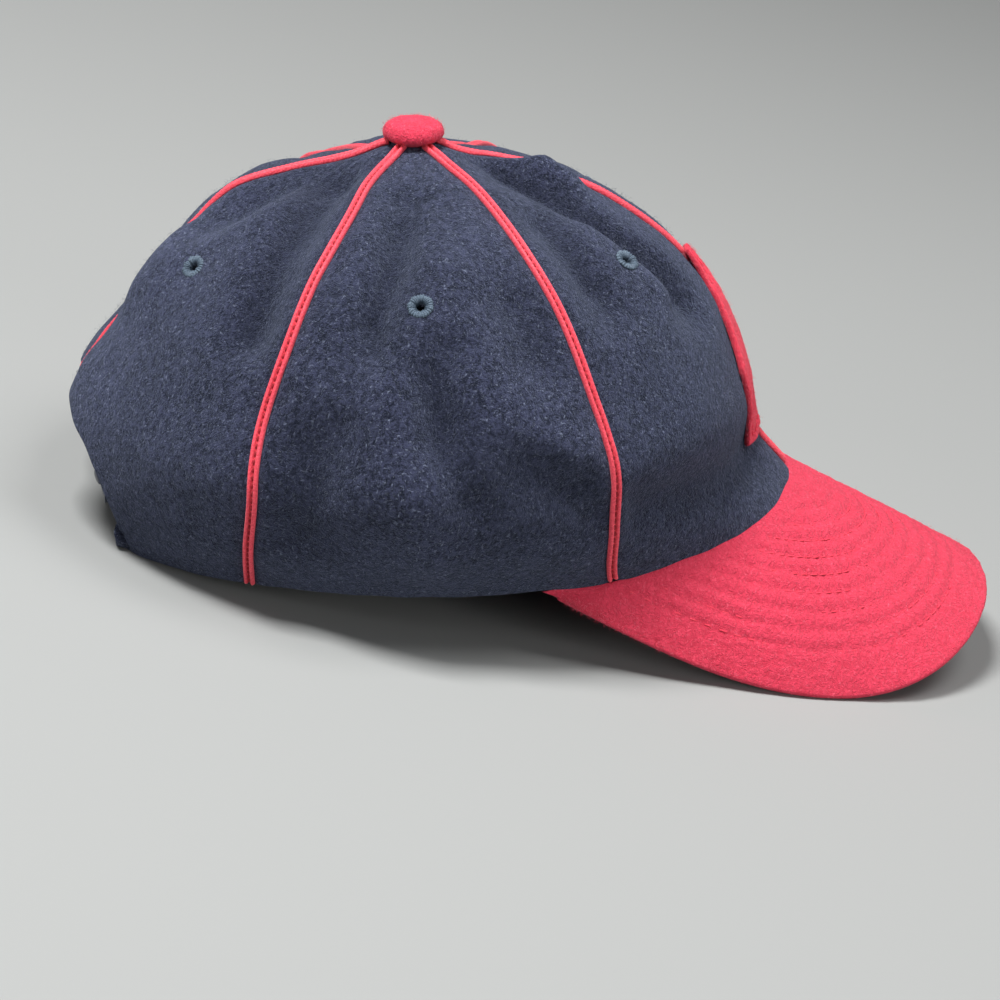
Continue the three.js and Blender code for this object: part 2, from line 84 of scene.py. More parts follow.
# Slack folds: angle and way where each starts, angle and way where it ends, half width, depth
FOLDS = np.array([
    (24, 0.41, 27, 0.77, 8, 2.4),
    (48, 0.49, 47, 0.66, 7, 1.6),
    (55, 0.14, 16, 0.08, 8, 1.8),
    (65, 0.29, 79, 0.40, 7, -1.4),
    (66, 0.23, 74, 0.26, 9, 1.6),
    (70, 0.43, 70, 0.52, 8, 1.5),
    (84, 0.20, 92, 0.40, 7, 1.6),
    (90, 0.10, 98, 0.38, 7, -1.5),
    (102, 0.46, 98, 0.67, 7, 1.6),
    (111, 0.14, 112, 0.26, 9, 2.0),
    (128, 0.46, 133, 0.78, 7, 1.9),
    (168, 0.57, 154, 0.76, 7, 1.6),
    (164, 0.20, 166, 0.30, 13, -2.6),
    (178, 0.36, 180, 0.40, 10, 0.9),
])

# Where a taped seam strays from its even place: its angle, the way, half the length, and the degrees it goes
STRAYS = np.array([
    (60, 0.21, 0.11, -1.9),
    (120, 0.74, 0.10, -3.6),
    (120, 0.32, 0.08, 0.5),
    (120, 0.17, 0.09, -0.7),
])
print("sections:", len(SECTIONS), "folds:", len(FOLDS), "strays:", len(STRAYS))


# %% Curves and vectors
def smoothstep(value, low, high):
    """0 below low, 1 above high, and a smooth S between them."""
    t = np.clip((value - low) / (high - low), 0, 1)
    return t * t * (3 - 2 * t)


def bell(distance, width):
    """A bell curve: 1 at no distance, and 1 / e at the width."""
    return np.exp(-((distance / width) ** 2))


def crowded(values, share):
    """Values from -1 to 1 drawn towards both ends: the sine of a share of a quarter turn, divided by the
    sine at its end."""
    return np.sin(values * np.pi / 2 * share) / np.sin(np.pi / 2 * share)


def unit(vectors):
    """Each vector divided by its own length."""
    return vectors / np.maximum(np.linalg.norm(vectors, axis=-1, keepdims=True), 1e-12)


print("half way up an S:", smoothstep(0.5, 0, 1))


# %% The crown's sections
def reach(column, way):
    """Reach from the axis: cubic pieces through the table, whose slope at a row is the harmonic mean of
    the slopes on both sides of it, so that the curve never swings past the table."""
    ways, reaches = SECTIONS[:, 0], SECTIONS[:, column]
    secant = np.diff(reaches) / np.diff(ways)
    before, after = secant[:-1], secant[1:]
    alike = before * after > 0
    inner = np.where(alike, 2 * before * after / np.where(alike, before + after, 1), 0)
    slope = np.concatenate([secant[:1], inner, secant[-1:]])
    k = np.clip(np.searchsorted(ways, way, side="right") - 1, 0, len(ways) - 2)
    span = ways[k + 1] - ways[k]
    t = (way - ways[k]) / span
    ends = reaches[k] * (1 + 2 * t) * (1 - t) ** 2 + reaches[k + 1] * t * t * (3 - 2 * t)
    return ends + span * (slope[k] * t * (1 - t) ** 2 - slope[k + 1] * t * t * (1 - t))


def plan(angle, way):
    """Plan point: a half ellipse in front of the axis and another behind it, with the same side reach."""
    c, s = np.cos(angle), np.sin(angle)
    length = np.where(c > 0, reach(FRONT, way), reach(BACK, way))
    return -reach(SIDE, way) * s, -length * c


print("reach to the side half way up:", reach(SIDE, 0.5).round(1))

# %% The bill's slope and the rim
BILL_SLOPE = np.radians(28.8)
BILL_BEND = 76.4
BILL_CORNER = np.radians(73.5)
FRONT_RIM = 4.5
RIM_LEVELS_OUT = np.radians(40)


def bill_top(x, y):
    """Height of the bill's face: a slope that falls to the front, bent over a cylinder along it."""
    drop = BILL_BEND - np.sqrt(BILL_BEND**2 - np.clip(x, -BILL_BEND, BILL_BEND) ** 2)
    return FRONT_RIM + np.tan(BILL_SLOPE) * (y + SECTIONS[0, FRONT]) - drop / np.cos(BILL_SLOPE)


def rim_height(angle):
    """Height of the rim: on the bill as far as its corner, and then easing to level."""
    x, y = plan(np.minimum(np.abs(angle), BILL_CORNER), 0.0)
    level = smoothstep(np.abs(angle), BILL_CORNER, BILL_CORNER + RIM_LEVELS_OUT)
    return (bill_top(x, y) + GAP) * (1 - level)


print("height of the rim at the front:", rim_height(0.0).round(1))


# %% Folds and seams
def half_turn(angle):
    """The same angle, between minus and plus half a turn."""
    return (angle + np.pi) % (2 * np.pi) - np.pi


def fold_depth(angle, way, folds=FOLDS):
    """Sum over the folds of depth times a bell curve of the distance, along the cloth, to the fold's line."""
    local = reach(SIDE, way)
    depth = np.zeros(np.broadcast(angle, way).shape)
    for a0, w0, a1, w1, width, deep in folds:
        x = half_turn(angle - np.radians(a0)) * local
        y = (way - w0) * CLOTH_LENGTH
        along_x = half_turn(np.radians(a1 - a0)) * local
        along_y = (w1 - w0) * CLOTH_LENGTH
        t = np.clip((x * along_x + y * along_y) / (along_x**2 + along_y**2), 0, 1)
        depth += deep * np.exp(-((x - t * along_x) ** 2 + (y - t * along_y) ** 2) / width**2)
    return depth


def seam_distance(angle, way):
    """Distance along the cloth to the nearest of the six seams, with its sign."""
    sixth = np.pi / 3
    local = np.hypot(reach(SIDE, way), 0.5 * (reach(FRONT, way) + reach(BACK, way))) / np.sqrt(2)
    return (angle - sixth * np.round(angle / sixth)) * local


def drifted(angle, way):
    """The angle after the seams have strayed and pulled the cloth with them: near the rim those beside the
    bill go to the back, and each stray is a bell curve of the way times one of the angle."""
    near = bell(np.abs(angle) - np.radians(60), SEAM_DRIFT_SPREAD)
    drift = SEAM_DRIFT * (1 - smoothstep(way, 0, SEAM_DRIFT_WAY)) * near
    for seam, at, half_length, degrees in STRAYS:
        near = bell(np.abs(angle) - np.radians(seam), SEAM_DRIFT_SPREAD)
        drift = drift + np.radians(degrees) * near * bell(way - at, half_length)
    return angle + np.sign(angle) * drift


print("deepest fold:", FOLDS[:, -1].max(), "mm")


# %% The crown's outside
def crown(angle, way):
    """Outside of the crown: plan sections raised on a sine of the way up, puffed between the seams by a
    squared sine of three times the angle, and dented by the folds, which the taped seams hold flat."""
    taut = bell(seam_distance(angle, way), TAUT_WIDTH)
    angle = drifted(angle, way)
    share = np.sin(np.pi / 2 * way)
    x, y = plan(angle, way)
    rim = rim_height(angle)
    point = np.stack(np.broadcast_arrays(x, y, rim + (CROWN_HEIGHT - rim) * share), -1)
    puff = PUFF * np.sin(3 * angle) ** 2 * np.sin(np.pi * share**2)
    dents = fold_depth(angle, way) + FAR_SIDE_FOLDS * fold_depth(-angle, way)
    dents = np.where(dents > 0, dents * SLACKER * (1 - taut), dents)
    return point + unit(point - CROWN_MIDDLE) * (puff - dents)[..., None]


print("crown top:", crown(np.zeros(1), np.ones(1))[0].round(1))

# %% [markdown]
# ## From the cap's frame to the row's
# The solids lie as a cap does when it is put down: leaning on the bill's edge and on the rim at the back.
# So each point is turned by that lean and shifted. The shift could be typed in, but it is safer to measure
# it on the button, which is round: turned upright again, the middle of its box is the axis, and its top is
# at a height that the crown's function gives.

# %% Place of the cap
REST_LEAN = np.radians(11.7)
TAPE_THICK = 1.3
BUTTON_RADIUS = 8.5
BUTTON_THICK = 5.2
BUTTON_EDGE_WAY = 0.885

lean = np.array(Matrix.Rotation(-REST_LEAN, 3, "X"))
button_base = crown(np.zeros(1), np.full(1, BUTTON_EDGE_WAY))[0, 2] + 2 * GAP + TAPE_THICK
spots = np.empty(3 * len(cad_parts["button"].data.vertices))
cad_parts["button"].data.vertices.foreach_get("co", spots)
upright = 1000 * spots.reshape(-1, 3) @ lean
middle = (upright.min(0) + upright.max(0)) / 2
cap_shift = np.array([middle[0], middle[1], upright[:, 2].max() - button_base - BUTTON_THICK])


def to_row(points):
    """The cap's millimetres turned by the lean, shifted, made metres, and kept above the floor."""
    row = (points + cap_shift) @ lean.T / 1000
    row[..., 2] = np.maximum(row[..., 2], 0)
    return row


print("axis stands at", (lean @ cap_shift).round(2))

# %% [markdown]
# ## Putting arrays into meshes
# Blender can be handed a list of points, but for tens of thousands of them `foreach_set` is far quicker,
# because a whole array goes over at once. Cloth has two sides and edges. A wall is therefore an outer
# layer, the same layer further in, and a strip along each edge that only one face uses.


# %% Grids and walls
def grid_faces(rows, columns, wrap=False):
    """Four corner numbers for each cell of a grid; with wrap, the last column joins the first."""
    number = np.arange(rows * columns).reshape(rows, columns)
    if wrap:
        number = np.concatenate([number, number[:, :1]], 1)
    corners = (number[:-1, :-1], number[1:, :-1], number[1:, 1:], number[:-1, 1:])
    return np.stack(corners, -1).reshape(-1, 4)


def ring_faces(rows, columns):
    """Four corner numbers for each cell of a grid that is closed both ways, as on a ring."""
    number = np.pad(np.arange(rows * columns).reshape(rows, columns), (0, 1), mode="wrap")
    corners = (number[:-1, 1:], number[1:, 1:], number[1:, :-1], number[:-1, :-1])
    return np.stack(corners, -1).reshape(-1, 4)


def closed_wall(outer, inner, faces):
    """Outer layer, inner layer turned round, and a quad along each edge that belongs to one face only."""
    count = len(outer)
    start, end = faces.ravel(), np.roll(faces, -1, 1).ravel()
    border = ~np.isin(start * count + end, end * count + start)
    a, b = start[border], end[border]
    strips = np.stack([b, a, a + count, b + count], -1)
    return np.concatenate([outer, inner]), np.concatenate([faces, faces[:, ::-1] + count, strips])


def tidy(points, faces):
    """The same mesh without the points that no face uses."""
    used, fresh = np.unique(faces, return_inverse=True)
    return points[used], fresh.reshape(faces.shape)


print("cells in a 3 by 4 grid:", len(grid_faces(3, 4)))


# %% Pieces
def piece(name, points, groups, material, nodes=(), tone=None):
    """A smooth mesh in its place: the face groups hold corner numbers, one array for each corner count. It
    rides on the cap's one body, takes the finish it is given and hides the plain solids that are named."""
    groups = [g for g in (groups if isinstance(groups, list) else [groups]) if len(g)]
    mesh = bpy.data.meshes.new(name)
    row = to_row(points)
    mesh.vertices.add(len(row))
    mesh.vertices.foreach_set("co", row.ravel())
    corners = np.concatenate([g.ravel() for g in groups]).astype(np.int32)
    sizes = np.concatenate([np.full(len(g), g.shape[1]) for g in groups])
    mesh.loops.add(len(corners))
    mesh.loops.foreach_set("vertex_index", corners)
    mesh.polygons.add(len(sizes))
    mesh.polygons.foreach_set("loop_start", (np.cumsum(sizes) - sizes).astype(np.int32))
    mesh.polygons.foreach_set("use_smooth", np.ones(len(sizes), bool))
    if tone is not None:
        layer = mesh.attributes.new("tone", "FLOAT", "POINT")
        layer.data.foreach_set("value", tone.astype(np.float32))
    mesh.update()
    mesh.validate()
    mesh.materials.append(material)
    made = bpy.data.objects.new(name, mesh)
    scene.collection.objects.link(made)
    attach(made, "root")
    if nodes:
        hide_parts(*nodes)
    return made


def triangles(made):
    """How many triangles a piece has."""
    return sum(len(p.vertices) - 2 for p in made.data.polygons)


print("meshes so far:", len(bpy.data.meshes))

# %% [markdown]
# ## Finishes as node groups
# Brushed wool isn't one colour: fibres lie in clumps, some catch the light and a few are nearly white. The
# same thing happens in felt, so it is one node group, fed with other colours and sizes in each material.
# Noise at three sizes gives broad mottling, clumps and single fibres; a high threshold on noise drawn out
# along three axes gives the pale strands that lie all ways. The colour is painted darker in the hollow of a
# fold and a little lighter on a roll that stands out: painted shade and painted light. Thread and plastic
# have groups of their own. Each group puts out colour, roughness and height, and each material keeps its
# own shader, because sheen and other plain numbers are set there.


# %% Helpers for nodes
def add_noise(tree, vector, scale, detail, rough=0.6, bend=0.0):
    """A noise texture of that many features a metre."""
    node = tree.nodes.new("ShaderNodeTexNoise")
    node.inputs["Scale"].default_value = scale
    node.inputs["Detail"].default_value = detail
    node.inputs["Roughness"].default_value = rough
    node.inputs["Distortion"].default_value = bend
    tree.links.new(vector, node.inputs["Vector"])
    return node.outputs["Fac"]


def add_streaks(tree, vector, scales):
    """Noise drawn out along one axis: the place is multiplied by a scale for each axis, then looked up."""
    stretch = tree.nodes.new("ShaderNodeVectorMath")
    stretch.operation = "MULTIPLY"
    tree.links.new(vector, stretch.inputs[0])
    stretch.inputs[1].default_value = scales
    return add_noise(tree, stretch.outputs["Vector"], 1.0, 1, 0.5, 0.35)


def add_range(tree, value, low, high, to_low=0.0, to_high=1.0):
    """The value carried from one range to another, and held at its ends."""
    node = tree.nodes.new("ShaderNodeMapRange")
    tree.links.new(value, node.inputs["Value"])
    for name, number in (("From Min", low), ("From Max", high), ("To Min", to_low), ("To Max", to_high)):
        node.inputs[name].default_value = number
    return node.outputs["Result"]


print("helpers:", add_noise.__name__, add_streaks.__name__, add_range.__name__)


# %% Sums, blends and groups
def add_math(tree, kind, first, second):
    """One sum on two values, each a socket or a number."""
    node = tree.nodes.new("ShaderNodeMath")
    node.operation = kind
    for socket, value in zip(node.inputs, (first, second)):
        if isinstance(value, bpy.types.NodeSocket):
            tree.links.new(value, socket)
        else:
            socket.default_value = value
    return node.outputs["Value"]


def add_mix(tree, share, first, second):
    """A blend of two colours by a share."""
    node = tree.nodes.new("ShaderNodeMix")
    node.data_type = "RGBA"
    for socket, value in ((node.inputs[0], share), (node.inputs[6], first), (node.inputs[7], second)):
        tree.links.new(value, socket)
    return node.outputs[2]


def new_group(name, inputs, outputs):
    """An empty node group with those sockets; an input has a name, a kind and a first value."""
    tree = bpy.data.node_groups.new(name, "ShaderNodeTree")
    for label, kind, value in inputs:
        socket = tree.interface.new_socket(label, in_out="INPUT", socket_type=kind)
        if value is not None:
            socket.default_value = value
    for label, kind in outputs:
        tree.interface.new_socket(label, in_out="OUTPUT", socket_type=kind)
    return tree, tree.nodes.new("NodeGroupInput").outputs, tree.nodes.new("NodeGroupOutput").inputs


COLOR, FLOAT, VECTOR = "NodeSocketColor", "NodeSocketFloat", "NodeSocketVector"
GREY = (0.5, 0.5, 0.5, 1)
SURFACE = [("Color", COLOR), ("Roughness", FLOAT), ("Height", FLOAT)]
print("each group puts out:", [label for label, _ in SURFACE])

# %% Wool nap
STRAND_SCALES = (620, 1500, 1500)
nap_tree, into, out = new_group(
    "Wool nap",
    [
        ("Vector", VECTOR, None),
        ("Cloth", COLOR, GREY),
        ("Shade", COLOR, GREY),
        ("Fleck", COLOR, GREY),
        ("Fleck share", FLOAT, 0.5),
        ("Hollow", FLOAT, 0.0),
    ],
    SURFACE,
)
mottle = add_noise(nap_tree, into["Vector"], 60, 2)
clumps = add_noise(nap_tree, into["Vector"], 560, 3, 0.7, 0.5)
hairs = add_noise(nap_tree, into["Vector"], 1400, 2, 0.7, 1.2)
strands = [add_streaks(nap_tree, into["Vector"], np.roll(STRAND_SCALES, axis)) for axis in range(3)]
longest = add_math(nap_tree, "MAXIMUM", strands[0], strands[1])
longest = add_math(nap_tree, "MAXIMUM", longest, strands[2])
flecks = add_range(nap_tree, longest, 0.66, 0.80)
clump_part = add_math(nap_tree, "MULTIPLY", clumps, 0.55)
hair_part = add_math(nap_tree, "MULTIPLY", hairs, 0.45)
grain = add_math(nap_tree, "ADD", clump_part, hair_part)
grain_tint = add_range(nap_tree, grain, 0.44, 0.57, 0, 0.85)
mottle_tint = add_range(nap_tree, mottle, 0.3, 0.7, 0, 0.2)
tint = add_math(nap_tree, "ADD", grain_tint, mottle_tint)
# Painted shade and light: deep in a fold the colour goes towards Shade and loses its flecks, and on a roll
# that stands out it goes a little lighter
painted_fold_shading = add_range(nap_tree, into["Hollow"], -0.5, 1, 1.18, 0.42)
tint = add_math(nap_tree, "MULTIPLY", tint, painted_fold_shading)
cloth_color = add_mix(nap_tree, tint, into["Shade"], into["Cloth"])
shown_flecks = add_math(nap_tree, "MULTIPLY", flecks, painted_fold_shading)
fleck_share = add_math(nap_tree, "MULTIPLY", shown_flecks, into["Fleck share"])
nap_tree.links.new(add_mix(nap_tree, fleck_share, cloth_color, into["Fleck"]), out["Color"])
nap_tree.links.new(add_range(nap_tree, grain, 0.3, 0.7, 0.97, 0.8), out["Roughness"])
nap_tree.links.new(grain, out["Height"])
print("group:", nap_tree.name, len(nap_tree.nodes), "nodes")

# %% Spun thread
thread_tree, into, out = new_group(
    "Spun thread",
    [
        ("Vector", VECTOR, None),
        ("Thread", COLOR, GREY),
        ("Shade", COLOR, GREY),
        ("Strands", FLOAT, 1000.0),
    ],
    SURFACE,
)
fine = thread_tree.nodes.new("ShaderNodeTexNoise")
thread_tree.links.new(into["Vector"], fine.inputs["Vector"])
thread_tree.links.new(into["Strands"], fine.inputs["Scale"])
fine.inputs["Detail"].default_value = 2
spun = fine.outputs["Fac"]
lit = add_range(thread_tree, spun, 0.35, 0.65)
thread_tree.links.new(add_mix(thread_tree, lit, into["Shade"], into["Thread"]), out["Color"])
thread_tree.links.new(add_range(thread_tree, spun, 0.3, 0.7, 0.75, 0.5), out["Roughness"])
thread_tree.links.new(spun, out["Height"])
print("group:", thread_tree.name, len(thread_tree.nodes), "nodes")


# %% Moulded plastic
plastic_tree, into, out = new_group(
    "Moulded plastic",
    [("Vector", VECTOR, None), ("Plastic", COLOR, GREY), ("Rubbed", COLOR, GREY)],
    SURFACE,
)
cloudy = add_noise(plastic_tree, into["Vector"], 140, 3)
pitted = add_noise(plastic_tree, into["Vector"], 2600, 2)
rubbed = add_range(plastic_tree, cloudy, 0.45, 0.7)
plastic_tree.links.new(add_mix(plastic_tree, rubbed, into["Plastic"], into["Rubbed"]), out["Color"])
plastic_tree.links.new(add_range(plastic_tree, cloudy, 0.35, 0.65, 0.3, 0.46), out["Roughness"])
plastic_tree.links.new(pitted, out["Height"])
print("group:", plastic_tree.name, len(plastic_tree.nodes), "nodes")


# %% A finish from a group
def finish_of(name, group, colors, values, bump, sheen=0.0, tint=(1, 1, 1, 1), specular=0.3, hollow=None):
    """A finish: the group on Object coordinates feeds colour, roughness and a bump of that height in mm; an
    attribute of the piece may tell the group where the cloth is hollow, and the group paints shade there."""
    material = bpy.data.materials.new(name)
    material.use_nodes = True
    tree = material.node_tree
    shader = tree.nodes["Principled BSDF"]
    place = tree.nodes.new("ShaderNodeTexCoord")
    effect = tree.nodes.new("ShaderNodeGroup")
    effect.node_tree = group
    tree.links.new(place.outputs["Object"], effect.inputs["Vector"])
    for label, value in {**colors, **values}.items():
        effect.inputs[label].default_value = value
    if hollow:
        depth = tree.nodes.new("ShaderNodeAttribute")
        depth.attribute_name = hollow
        tree.links.new(depth.outputs["Fac"], effect.inputs["Hollow"])
    relief = tree.nodes.new("ShaderNodeBump")
    relief.inputs["Distance"].default_value = bump / 1000
    relief.inputs["Strength"].default_value = 1.0
    tree.links.new(effect.outputs["Height"], relief.inputs["Height"])
    tree.links.new(effect.outputs["Color"], shader.inputs["Base Color"])
    tree.links.new(effect.outputs["Roughness"], shader.inputs["Roughness"])
    tree.links.new(relief.outputs["Normal"], shader.inputs["Normal"])
    shader.inputs["Specular IOR Level"].default_value = specular
    shader.inputs["Sheen Weight"].default_value = sheen
    shader.inputs["Sheen Roughness"].default_value = 0.5
    shader.inputs["Sheen Tint"].default_value = tint
    return material


print("groups to choose from:", len(bpy.data.node_groups))


# %% Finishes of loose fibres
def fibre_finish(name, dark, pale):
    """Loose fibres: each takes its place between two colours from the piece's own tone attribute."""
    material = bpy.data.materials.new(name)
    material.use_nodes = True
    tree = material.node_tree
    shader = tree.nodes["Principled BSDF"]
    tone = tree.nodes.new("ShaderNodeAttribute")
    tone.attribute_name = "tone"
    blend = tree.nodes.new("ShaderNodeMix")
    blend.data_type = "RGBA"
    blend.inputs[6].default_value = dark
    blend.inputs[7].default_value = pale
    tree.links.new(tone.outputs["Fac"], blend.inputs[0])
    tree.links.new(blend.outputs[2], shader.inputs["Base Color"])
    shader.inputs["Roughness"].default_value = 0.7
    shader.inputs["Specular IOR Level"].default_value = 0.3
    return material


navy_fibre = fibre_finish("navy fibre", (0.045, 0.055, 0.09, 1), (0.42, 0.46, 0.55, 1))
red_fibre = fibre_finish("red fibre", (0.6, 0.035, 0.07, 1), (0.95, 0.28, 0.36, 1))
print("fibres:", navy_fibre.name, "and", red_fibre.name)

# %% Finishes of wool, felt, thread and plastic
# The navy wool takes painted shade from the panels' tone attribute: darker in the hollows of folds, a little
# lighter on the rolls
navy_wool = finish_of(
    "navy wool", nap_tree,
    {"Cloth": (0.038, 0.043, 0.082, 1), "Shade": (0.0045, 0.006, 0.014, 1), "Fleck": (0.2, 0.23, 0.32, 1)},
    {"Fleck share": 0.56}, bump=1.8, sheen=0.26, tint=(0.5, 0.58, 0.8, 1), specular=0.08, hollow="tone",
)
red_wool = finish_of(
    "red wool", nap_tree,
    {"Cloth": (0.67, 0.046, 0.092, 1), "Shade": (0.56, 0.034, 0.068, 1), "Fleck": (0.9, 0.19, 0.27, 1)},
    {"Fleck share": 0.35}, bump=1.4, sheen=0.12, tint=(1, 0.5, 0.55, 1), specular=0.12,
)
red_felt = finish_of(
    "red felt", nap_tree,
    {"Cloth": (0.72, 0.048, 0.085, 1), "Shade": (0.55, 0.034, 0.062, 1), "Fleck": (0.85, 0.2, 0.26, 1)},
    {"Fleck share": 0.25}, bump=0.9, sheen=0.2, tint=(1, 0.45, 0.5, 1), specular=0.15,
)
red_braid = finish_of(
    "red braid", thread_tree,
    {"Thread": (0.80, 0.060, 0.095, 1), "Shade": (0.58, 0.028, 0.052, 1)},
    {"Strands": 1800.0}, bump=0.2, sheen=0.3, tint=(1, 0.55, 0.6, 1), specular=0.5,
)
red_thread = finish_of(
    "red thread", thread_tree,
    {"Thread": (0.80, 0.056, 0.10, 1), "Shade": (0.62, 0.036, 0.066, 1)},
    {"Strands": 3000.0}, bump=0.1,
)
dark_red_thread = finish_of(
    "dark red thread", thread_tree,
    {"Thread": (0.33, 0.012, 0.02, 1), "Shade": (0.2, 0.008, 0.014, 1)},
    {"Strands": 3000.0}, bump=0.1,
)
blue_thread = finish_of(
    "blue thread", thread_tree,
    {"Thread": (0.105, 0.15, 0.20, 1), "Shade": (0.035, 0.052, 0.078, 1)},
    {"Strands": 3500.0}, bump=0.1, sheen=0.1, tint=(0.7, 0.85, 1, 1), specular=0.4,
)
navy_plastic = finish_of(
    "navy plastic", plastic_tree,
    {"Plastic": (0.015, 0.020, 0.041, 1), "Rubbed": (0.024, 0.030, 0.054, 1)},
    {}, bump=0.06, specular=0.5,
)
navy_plastic.node_tree.nodes["Principled BSDF"].inputs["Coat Weight"].default_value = 0.15
print("materials:", len(bpy.data.materials))

# %% [markdown]
# ## The cloth of the panels
# Sewn wool isn't as smooth as the plain solid. It dips into the seams, puckers beside them where the
# stitches pull, sinks around each eyelet and is never quite even. These small heights are one function,
# added to the crown along the line from its middle, so that tapes and eyelets find the same cloth below.

# %% Sizes of the small relief
# Angle in degrees and way of each panel's eyelet
EYELETS = {"front": (33, 0.545), "side": (92, 0.54), "back": (156, 0.525)}
MM_PER_RADIAN = 78
SEAM_DIP, SEAM_DIP_WIDTH = 0.7, 2.0
PUCKER, PUCKER_LENGTH, PUCKER_STRETCH = 0.3, 8.5, 0.35
PUCKER_FROM, PUCKER_TO = 2.5, 8.0
SEAM_QUIETS, QUIET_WIDTH = 0.85, 9.0
BROAD_WAVE, BROAD_LENGTH = 0.32, 34
SHORT_WAVE, SHORT_LENGTH = 0.10, 11
EYELET_DIP, EYELET_DIP_WIDTH = 0.5, 5.0
RELIEF_FADES, RELIEF_ENDS = 0.84, 0.9
HOLLOW_FULL = 4.4

# Slack of the sewn cloth, laid out as the folds are; a depth below 0 is a roll that stands out
SLACK = np.array([
    (186, 0.37, 186, 0.55, 9, 5.5),
    (198, 0.28, 198, 0.52, 12, 3.2),
    (169, 0.46, 168, 0.51, 12, -5.4),
    (180, 0.57, 180, 0.65, 12, -2.8),
    (172, 0.22, 171, 0.28, 9, -1.5),
    (182, 0.26, 182, 0.285, 5, 1.2),
    (-4, 0.73, -4, 0.86, 6, 3.0),
    (9, 0.70, 10, 0.74, 4.5, -3.2),
    (11, 0.76, 14, 0.84, 6.5, -3.4),
    (20, 0.42, 23, 0.83, 4.2, 3.6),
    (30, 0.47, 30, 0.62, 5, -2.4),
    (-60, 0.74, -60, 0.88, 6, 2.0),
    (47, 0.53, 43, 0.66, 4.5, 1.8),
    (103, 0.50, 96, 0.74, 5, 2.8),
    (90, 0.30, 87, 0.46, 5, 2.0),
    (66, 0.17, 76, 0.21, 8, 2.0),
    (66, 0.25, 80, 0.34, 6, -1.2),
    (108, 0.22, 106, 0.32, 6, 1.4),
    (131, 0.44, 141, 0.79, 5, 2.6),
    (165, 0.66, 158, 0.80, 5.5, 1.6),
    (158, 0.58, 150, 0.80, 5, -1.0),
    (-120, 0.66, -120, 0.86, 6, 2.0),
    (-162, 0.62, -154, 0.78, 14, 1.6),
])
print("slack folds and rolls:", len(SLACK))


# %% Small relief of the cloth
def ripple(x, y, length, seed, waves=7):
    """Unevenness between about -1 and 1: a mean of plane waves with random headings near one length."""
    rng = np.random.default_rng(seed)
    total = 0.0
    for heading, stretch, phase in rng.uniform((0, 0.7, 0), (2 * np.pi, 1.5, 2 * np.pi), (waves, 3)):
        k = 2 * np.pi / (length * stretch)
        total = total + np.sin(k * (x * np.cos(heading) + y * np.sin(heading)) + phase)
    return total / np.sqrt(waves)


def relief(angle, way):
    """A dip along the seams, puckers beside them, a general unevenness that the seams quiet, the slack, and
    a hollow around each eyelet; all of it ends under the button."""
    x, y = angle * MM_PER_RADIAN, way * CLOTH_LENGTH
    aside = seam_distance(angle, way)
    height = -SEAM_DIP * bell(aside, SEAM_DIP_WIDTH)
    beside = bell(aside, PUCKER_TO) - bell(aside, PUCKER_FROM)
    puckers = ripple(x * PUCKER_STRETCH, y, PUCKER_LENGTH, 3)
    height += PUCKER * beside * puckers * smoothstep(way, 0, 0.05)
    uneven = BROAD_WAVE * ripple(x, y, BROAD_LENGTH, 5) + SHORT_WAVE * ripple(x, y, SHORT_LENGTH, 8)
    loose = 1 - SEAM_QUIETS * bell(aside, QUIET_WIDTH)
    height += uneven * loose - fold_depth(angle, way, SLACK)
    for degrees, at in EYELETS.values():
        off = (np.abs(angle) - np.radians(degrees)) * reach(SIDE, way)
        height -= EYELET_DIP * bell(np.hypot(off, (way - at) * CLOTH_LENGTH), EYELET_DIP_WIDTH)
    return height * (1 - smoothstep(way, RELIEF_FADES, RELIEF_ENDS))


sample_angles, sample_ways = np.linspace(-3, 3, 900)[None], np.linspace(0, 0.8, 300)[:, None]
print("relief spans mm:", np.ptp(relief(sample_angles, sample_ways)).round(2))


# %% The sewn cloth
def surface_normals(points):
    """Normals of a grid: the way up crossed with the way round."""
    return unit(np.cross(np.gradient(points, axis=0), np.gradient(points, axis=1)))


def cloth(angle, way):
    """Outside of the sewn cloth: the crown plus the small relief, along the line away from its middle."""
    point = crown(angle, way)
    return point + unit(point - CROWN_MIDDLE) * relief(angle, way)[..., None]


# The navy wool's finish turns this into painted shade in the hollows and painted light on the rolls
def hollow(angle, way):
    """How deep in a fold the cloth lies: the sum of all dents over HOLLOW_FULL, from -0.5 to 1."""
    folds = fold_depth(angle, way) + FAR_SIDE_FOLDS * fold_depth(-angle, way)
    return np.clip((SLACKER * folds + fold_depth(angle, way, SLACK)) / HOLLOW_FULL, -0.5, 1)


def cloth_normal(angle, way, step=0.006):
    """Normal of the sewn cloth, from points a small step up and a small step round."""
    up = cloth(angle, way + step) - cloth(angle, way - step)
    around = cloth(angle + step, way) - cloth(angle - step, way)
    return unit(np.cross(up, around))


print("middle of the front:", cloth(np.zeros(1), np.full(1, 0.5))[0].round(1))

# %% [markdown]
# ## The six panels
# Each panel is a grid from seam to seam and from the rim to the button. Along the rim, and around the arch
# at the back, the cloth is turned in and sewn, so its edge is round. A bevel could round it afterwards, but
# it is just as easy to carry the grid round a quarter circle on each layer. A hole is left for the eyelet.

# %% Sizes of the panels
# Degrees from the middle of the back to the end of the arch, in the plain solid and in the cloth
ARCH_HALF_ANGLE = 33
ARCH_CLOTH_ANGLE = 31.8
ARCH_WAY = 0.24
# Degrees from a seam to the first column of a panel
SEAM_CLEAR = 0.1
RIM_DRAWN_IN, RIM_DRAWN_WIDTH = 0.55, 4
PANEL_COLUMNS = 100
PANEL_ROWS = 128
HEM_STEPS = np.radians((84, 66, 48, 30, 14))
VENT_RADIUS = 2.0
PLACES = {"front": (0, 60), "side": (60, 120), "back": (120, 180)}
